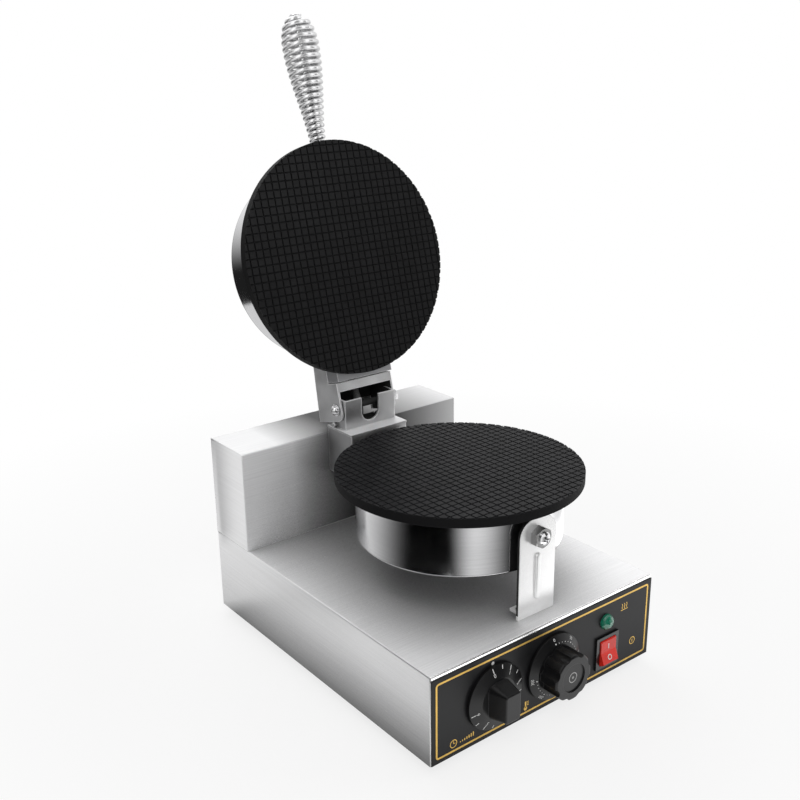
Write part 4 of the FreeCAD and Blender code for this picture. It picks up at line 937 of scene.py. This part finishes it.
class CONEMAKER_OT_knobs(bpy.types.Operator):
    """Finish both knobs and print their dials"""
    bl_idname = "conemaker.knobs"
    bl_label = "Knobs and Dials"

    def execute(self, context):
        look, size = context.scene.conemaker_finish, context.scene.conemaker_print
        dress(finish("knob_plastic", moulded_plastic, look.knob, 0.30, wear=6.0, shine=0.25),
              "timer_knob", "thermostat_knob")
        white = finish("dial_white", screen_print, look.white, 0.5)
        grey = finish("badge_grey", screen_print, shade(look.white, 0.5), 0.4)
        for name, bm, ink, body in (("timer_marks", self.timer_marks(size), white, "timer_dial"),
                                    ("thermostat_marks", self.thermostat_marks(size), white, "thermostat_dial"),
                                    ("thermostat_badge", self.badge(), grey, "thermostat_dial")):
            piece(name, mesh_of(name, bm), ink, body)
        return {"FINISHED"}

    def timer_marks(self, size):
        """A number on a long tick at each step, with a short tick between."""
        bm, rim, hub, first, step = bmesh.new(), 28.0, 17.5, 100, 22
        for k in range(2 * size.timer_steps + 1):
            degrees = first - step * k
            reach = 3.2 if k % 2 else 3.9
            add_bar(bm, 0.75, reach, dial_place(TIMER, rim - 0.8 - reach / 2, degrees, rim, hub))
            if k % 2 == 0:
                radius = rim - 1.2 - reach - size.timer_size / MM / 2
                add_text(bm, str(k // 2), size.timer_size, dial_place(TIMER, radius, degrees, rim, hub))
        return bm

    def thermostat_marks(self, size):
        """Numbers near the rim, each with a bold dot inside it, and small dots between."""
        bm, rim, hub, first, step = bmesh.new(), 29.0, 22.0, 97, 9
        for k in range(31):
            degrees = first - step * k
            if k % 5 == 0:
                add_dot(bm, 0.62, dial_place(THERMOSTAT, 23.3, degrees, rim, hub))
                add_text(bm, str(10 * k), size.thermostat_size, dial_place(THERMOSTAT, 26.4, degrees, rim, hub))
            else:
                add_dot(bm, 0.36, dial_place(THERMOSTAT, 23.1, degrees, rim, hub), 12)
        return bm

    def badge(self):
        """A plain ring and dot in the recess of the knob."""
        bm = bmesh.new()
        recess = PANEL_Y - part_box("thermostat_knob")[0].y - 1.2 * MM
        place = on_panel(THERMOSTAT.x, THERMOSTAT.z, recess)
        add_ring(bm, 4.6, 0.8, place @ lift(PRINT / 2))
        add_dot(bm, 1.1, place)
        return bm


class CONEMAKER_OT_switch(bpy.types.Operator):
    """Finish the rocker switch, mark the rocker, and cut the lamp's lens"""
    bl_idname = "conemaker.switch"
    bl_label = "Switch and Lamp"

    def execute(self, context):
        look = context.scene.conemaker_finish
        dress(finish("switch_plastic", moulded_plastic, shade(look.knob, 0.6), 0.25, 2600.0, 2.2, 0.3),
              "switch_body")
        dress(finish("rocker_plastic", moulded_plastic, look.rocker, 0.26, 1500.0, 1.2, 0.15, 0.3), "rocker")
        white = finish("rocker_white", screen_print, look.white, 0.4)
        piece("rocker_marks", mesh_of("rocker_marks", self.rocker_marks()), white, "rocker")
        green = finish("lens_green", lens_plastic, look.lens)
        lens = piece("lamp_facets", mesh_of("lamp_facets", self.facets()), green, "base")
        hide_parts("lamp_lens")
        dress(finish("lamp_case", moulded_plastic, shade(look.knob, 1.2), 0.4), "lamp_body")
        return {"FINISHED"}

    def rocker_marks(self):
        """A bar on the pressed half and a ring on the raised half."""
        valley, pivot_in, tilt = 3.2 * MM, 1.0 * MM, ROCKER_TILT / 2
        height = valley + pivot_in
        up, out = height * math.sin(tilt), height * math.cos(tilt) - pivot_in
        crease, raised = on_panel(ROCKER.x, ROCKER.z + up, out), lift(PRINT / 4)
        bm = bmesh.new()
        add_bar(bm, 0.9, 4.6, crease @ shift(0, 4.6) @ raised)
        add_ring(bm, 2.4, 0.75, crease @ Matrix.Rotation(-ROCKER_TILT, 4, "X") @ shift(0, -5.6) @ raised)
        return bm

    def facets(self):
        """A short round skirt and a dome of flat facets, each row turned by half a facet."""
        low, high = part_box("lamp_lens")
        radius, rise, count = (high.x - low.x) / 2, high.y - low.y, 14
        place = on_panel((low.x + high.x) / 2, (low.z + high.z) / 2, PANEL_Y - high.y)
        bm = bmesh.new()
        bmesh.ops.create_circle(bm, cap_ends=True, segments=count, radius=radius, matrix=place)
        face = bm.faces[:][0]
        axis, out = place.to_translation(), place.to_3x3() @ Vector((0, 0, 1))
        if face.normal.dot(out) < 0:
            bmesh.ops.reverse_faces(bm, faces=[face])
        last = 1.0
        for wide, step, turn in ((1.0, 0.26, 0.0), (0.86, 0.28, 0.5), (0.60, 0.25, 0.5), (0.28, 0.16, 0.5)):
            face = bmesh.ops.extrude_discrete_faces(bm, faces=[face])["faces"][0]
            bmesh.ops.translate(bm, verts=face.verts, vec=out * rise * step)
            centre = Matrix.Translation(-face.calc_center_median())
            bmesh.ops.scale(bm, verts=face.verts, vec=(wide / last,) * 3, space=centre)
            bmesh.ops.rotate(bm, verts=face.verts, cent=axis, space=Matrix.Identity(4),
                             matrix=Matrix.Rotation(turn * 2 * math.pi / count, 3, out))
            last = wide
        bmesh.ops.triangulate(bm, faces=bm.faces[:])
        bmesh.ops.recalc_face_normals(bm, faces=bm.faces[:])
        return bm


class CONEMAKER_OT_fasteners(bpy.types.Operator):
    """Plate the screws, nuts, washers and bolts"""
    bl_idname = "conemaker.fasteners"
    bl_label = "Fasteners"

    def execute(self, context):
        look = context.scene.conemaker_finish
        dress(finish("plated_steel", bright_plating, look.zinc, 0.22),
              "foot_screws", "foot_nuts", "bottom_screws", "cover_screws", "tower_screws", "leg_foot_screws",
              "channel_screws", "hinge_screws", "arm_screws", "leg_inner_nut", "lower_drum_bolt",
              "upper_drum_bolt")
        dress(finish("bright_screw", bright_plating, look.chrome, 0.12),
              "leg_screw", "pivot_washers", "pivot_nut")
        dress(finish("nut_steel", bright_plating, look.nut, 0.16), "leg_nut")
        return {"FINISHED"}


class CONEMAKER_OT_inside(bpy.types.Operator):
    """Finish the pieces inside the base, the tower and the drums"""
    bl_idname = "conemaker.inside"
    bl_label = "Inside Pieces"

    def execute(self, context):
        dress(finish("ceramic", moulded_plastic, (0.62, 0.60, 0.55), 0.6, 900.0, 1.1), "terminal_block")
        dress(finish("control_case", moulded_plastic, (0.30, 0.27, 0.22), 0.5, 1400.0, 1.3),
              "timer_body", "thermostat_body")
        dress(finish("brass", bright_plating, (0.68, 0.52, 0.24), 0.25),
              "timer_nut", "timer_shaft", "thermostat_nut", "thermostat_shaft")
        dress(finish("copper", bright_plating, (0.70, 0.38, 0.24), 0.28), "thermostat_sensor")
        dress(finish("heater_tube", satin_steel, (0.32, 0.30, 0.28), 0.5), "lower_heater", "upper_heater")
        dress(finish("fibre", woven_cover, (0.70, 0.68, 0.62), 180.0), "lower_insulation", "upper_insulation")
        dress(finish("lead_cover", woven_cover, (0.12, 0.12, 0.12), 420.0), "control_leads", "heater_leads")
        return {"FINISHED"}


class CONEMAKER_OT_stage(bpy.types.Operator):
    """Set the floor, the reflection cards, the lamps and the camera"""
    bl_idname = "conemaker.stage"
    bl_label = "Stage"

    def execute(self, context):
        scene, stage = context.scene, context.scene.conemaker_stage
        self.make_floor()
        self.make_banded_card()
        self.make_flags()
        self.make_bent_card()
        self.make_world(scene, stage.ambient)
        self.make_lamps(scene, stage)
        self.make_camera(scene, stage.lens)
        scene.view_settings.view_transform = "Standard"
        return {"FINISHED"}

    def make_floor(self):
        """A pale floor, white to the camera, with the part's soft shadow, dimmed beside it in reflections."""
        material, tree, place = new_material("floor_paper")
        shader, corner = tree.nodes["Principled BSDF"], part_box("base_shell")[1]
        feed(shader, {"Base Color": (0.86, 0.86, 0.86, 1.0), "Roughness": 0.9, "Specular IOR Level": 0.1})
        beside, before, _ = split(vector_math("SUBTRACT", vector_math("ABSOLUTE", place)[0], corner)[0])
        rise, more, fall = (spread(beside, *row) for row in FLOOR_SIDES)
        sides = times(plus(rise, more), fall)
        front = times(*(spread(before, *row) for row in FLOOR_FRONT))
        ends = between(spread(split(place)[1], 0.0, 1.0, -0.10, 0.10), front, FLOOR_REAR)
        dim = between(spread(before, 0.0, 1.0, -0.01, 0.02), sides, ends)
        soft = add(tree, "BsdfDiffuse", {"Color": (0.24, 0.24, 0.24, 1.0)}).outputs[0]
        near = add(tree, "AddShader", {0: glow(tree, 0.78), 1: soft}).outputs[0]
        far = spread(vector_math("LENGTH", place)["Value"], 0.0, 1.0, 0.30, 0.75)
        paper = either(far, near, glow(tree, 1.0))
        shown = either(add(tree, "LightPath").outputs["Is Glossy Ray"], paper, glow(tree, dim))
        feed(tree.nodes["Material Output"], {"Surface": either(seen_directly(tree), shader.outputs[0], shown)})
        bm = bmesh.new()
        bmesh.ops.create_grid(bm, x_segments=1, y_segments=1, size=FLOOR_SIZE)
        new_object("floor", mesh_of("floor", bm), material)

    def make_banded_card(self):
        """A soft card round the lower drum, with dark bands."""
        low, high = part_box("lower_drum")
        centre = Vector((0.0, (low.y + high.y) / 2, 0.0))
        place = self.card_place("banded_card")
        across, along, _ = split(vector_math("SUBTRACT", centre, place)[0])
        angle = plus(math_node("ARCTAN2", along, across), math.pi)
        above = spread(split(place)[2], 0.0, 1.0, *BANDED_EDGE_Z)
        level = times(BANDED_LEVEL, between(above, 1.0, spread(angle, *BANDED_EDGE)))
        for band in BANDS:
            rise, full, last, fall = map(math.radians, band)
            level = times(level, most(spread(angle, 1.0, 0.0, rise, full, "SMOOTHSTEP"),
                                      spread(angle, 0.0, 1.0, last, fall, "SMOOTHSTEP")))
        bm = bmesh.new()
        add_arc(bm, centre, *BANDED_ARC)
        self.card("banded_card", bm, level)

    def make_flags(self):
        """Dark flat cards further off, some fading to white at the top."""
        for name, at, faces, wide, low, high, fade, tone in FLAGS:
            height = split(self.card_place(name))[2]
            bm = bmesh.new()
            bmesh.ops.create_grid(bm, x_segments=1, y_segments=1, size=0.5)
            stand = Matrix.Rotation(math.radians(faces - 90), 4, "Z") @ Matrix.Rotation(math.pi / 2, 4, "X")
            bmesh.ops.transform(bm, verts=bm.verts, matrix=Matrix.Translation((*at, (low + high) / 2)) @ stand
                                @ Matrix.Diagonal((wide, high - low, 1, 1)))
            self.card(name, bm, spread(height, tone, 1.0, fade, high + 0.001, "SMOOTHSTEP"))

    def make_bent_card(self):
        """A card bent round the camera's side of the stage, with a grey middle between two bright bands."""
        handle = handle_place()
        eye = handle.inverted() @ CAMERA_AT
        middle = math.degrees(math.atan2(eye.y, eye.x)) + BENT_OFF
        bm = bmesh.new()
        across = bm.verts.layers.float.new("across")
        add_arc(bm, Vector(), BENT_RADIUS, middle - BENT_SWEEP / 2, BENT_SWEEP, BENT_STEPS, BENT_LOW, BENT_HIGH)
        for v in bm.verts:
            off = math.degrees(math.atan2(v.co.y, v.co.x)) - middle
            v[across] = (off + 180.0) % 360.0 - 180.0
        bmesh.ops.transform(bm, verts=bm.verts, matrix=handle)
        tree = self.card_place("bent_card").id_data
        angle = math_node("ABSOLUTE", add(tree, "Attribute", attribute_name="across").outputs["Fac"])
        self.card("bent_card", bm, times(*(spread(angle, *row, "SMOOTHSTEP") for row in BENT_LEVELS)))

    def card_place(self, name):
        """The Object coordinates of a card's new material."""
        _, tree, place = new_material(name)
        tree.nodes.remove(tree.nodes["Principled BSDF"])
        return place

    def card(self, name, bm, level):
        """A card from a bmesh, with its light, seen in reflections alone."""
        tree = level.id_data
        feed(tree.nodes["Material Output"], {"Surface": glow(tree, level)})
        made = new_object(name, mesh_of(name, bm), bpy.data.materials[name])
        made.visible_camera = made.visible_diffuse = made.visible_shadow = False
        made.visible_transmission = made.visible_volume_scatter = False

    def make_world(self, scene, ambient):
        """White to the camera and in reflections, and an even light of the room otherwise."""
        scene.world = bpy.data.worlds.new("studio")
        scene.world.use_nodes = True
        tree = scene.world.node_tree
        tree.nodes.clear()
        room, white = (glow(tree, level, "Background") for level in (ambient, 1.0))
        add(tree, "OutputWorld", {"Surface": either(seen_directly(tree), room, white)})

    def make_lamps(self, scene, stage):
        """Round lamps that face the part."""
        for name, at, size in LAMPS:
            lamp = bpy.data.lights.new(name, "AREA")
            lamp.shape, lamp.size, lamp.energy = "DISK", size, getattr(stage, name)
            made = bpy.data.objects.new(name, lamp)
            made.location = at
            made.rotation_euler = (LAMP_AIM - Vector(at)).to_track_quat("-Z", "Y").to_euler()
            scene.collection.objects.link(made)

    def make_camera(self, scene, lens):
        """The camera where the photograph was taken."""
        data = bpy.data.cameras.new("camera")
        data.lens, data.sensor_width = lens, SENSOR
        camera = bpy.data.objects.new("camera", data)
        camera.matrix_world = Matrix.Translation(CAMERA_AT) @ Matrix(CAMERA_AXES).transposed().to_4x4()
        scene.collection.objects.link(camera)
        scene.camera = camera


class CONEMAKER_PT_panel(bpy.types.Panel):
    """Sizes, colours and steps of the cone maker"""
    bl_idname = "CONEMAKER_PT_panel"
    bl_label = "Cone Maker"
    bl_space_type = "VIEW_3D"
    bl_region_type = "UI"
    bl_category = "Cone Maker"

    def draw(self, context):
        for step in STEPS:
            self.layout.operator(step.bl_idname)
        for group in GROUPS:
            settings = getattr(context.scene, group)
            for name in settings.__annotations__:
                self.layout.prop(settings, name)


GROUPS = {"conemaker_finish": ConeMakerFinish, "conemaker_print": ConeMakerPrint,
          "conemaker_handle": ConeMakerHandle, "conemaker_stage": ConeMakerStage}
STEPS = (CONEMAKER_OT_groups, CONEMAKER_OT_stage, CONEMAKER_OT_sheets, CONEMAKER_OT_drums, CONEMAKER_OT_plates,
         CONEMAKER_OT_hinge, CONEMAKER_OT_handle, CONEMAKER_OT_panel, CONEMAKER_OT_knobs, CONEMAKER_OT_switch,
         CONEMAKER_OT_fasteners, CONEMAKER_OT_inside)


def register():
    for cls in (*GROUPS.values(), *STEPS, CONEMAKER_PT_panel):
        bpy.utils.register_class(cls)
    for name, cls in GROUPS.items():
        setattr(bpy.types.Scene, name, PointerProperty(type=cls))


def unregister():
    for name in GROUPS:
        delattr(bpy.types.Scene, name)
    for cls in reversed((*GROUPS.values(), *STEPS, CONEMAKER_PT_panel)):
        bpy.utils.unregister_class(cls)


def main():
    register()
    for step in STEPS:
        family, name = step.bl_idname.split(".")
        getattr(getattr(bpy.ops, family), name)()


if __name__ == "__main__":
    main()
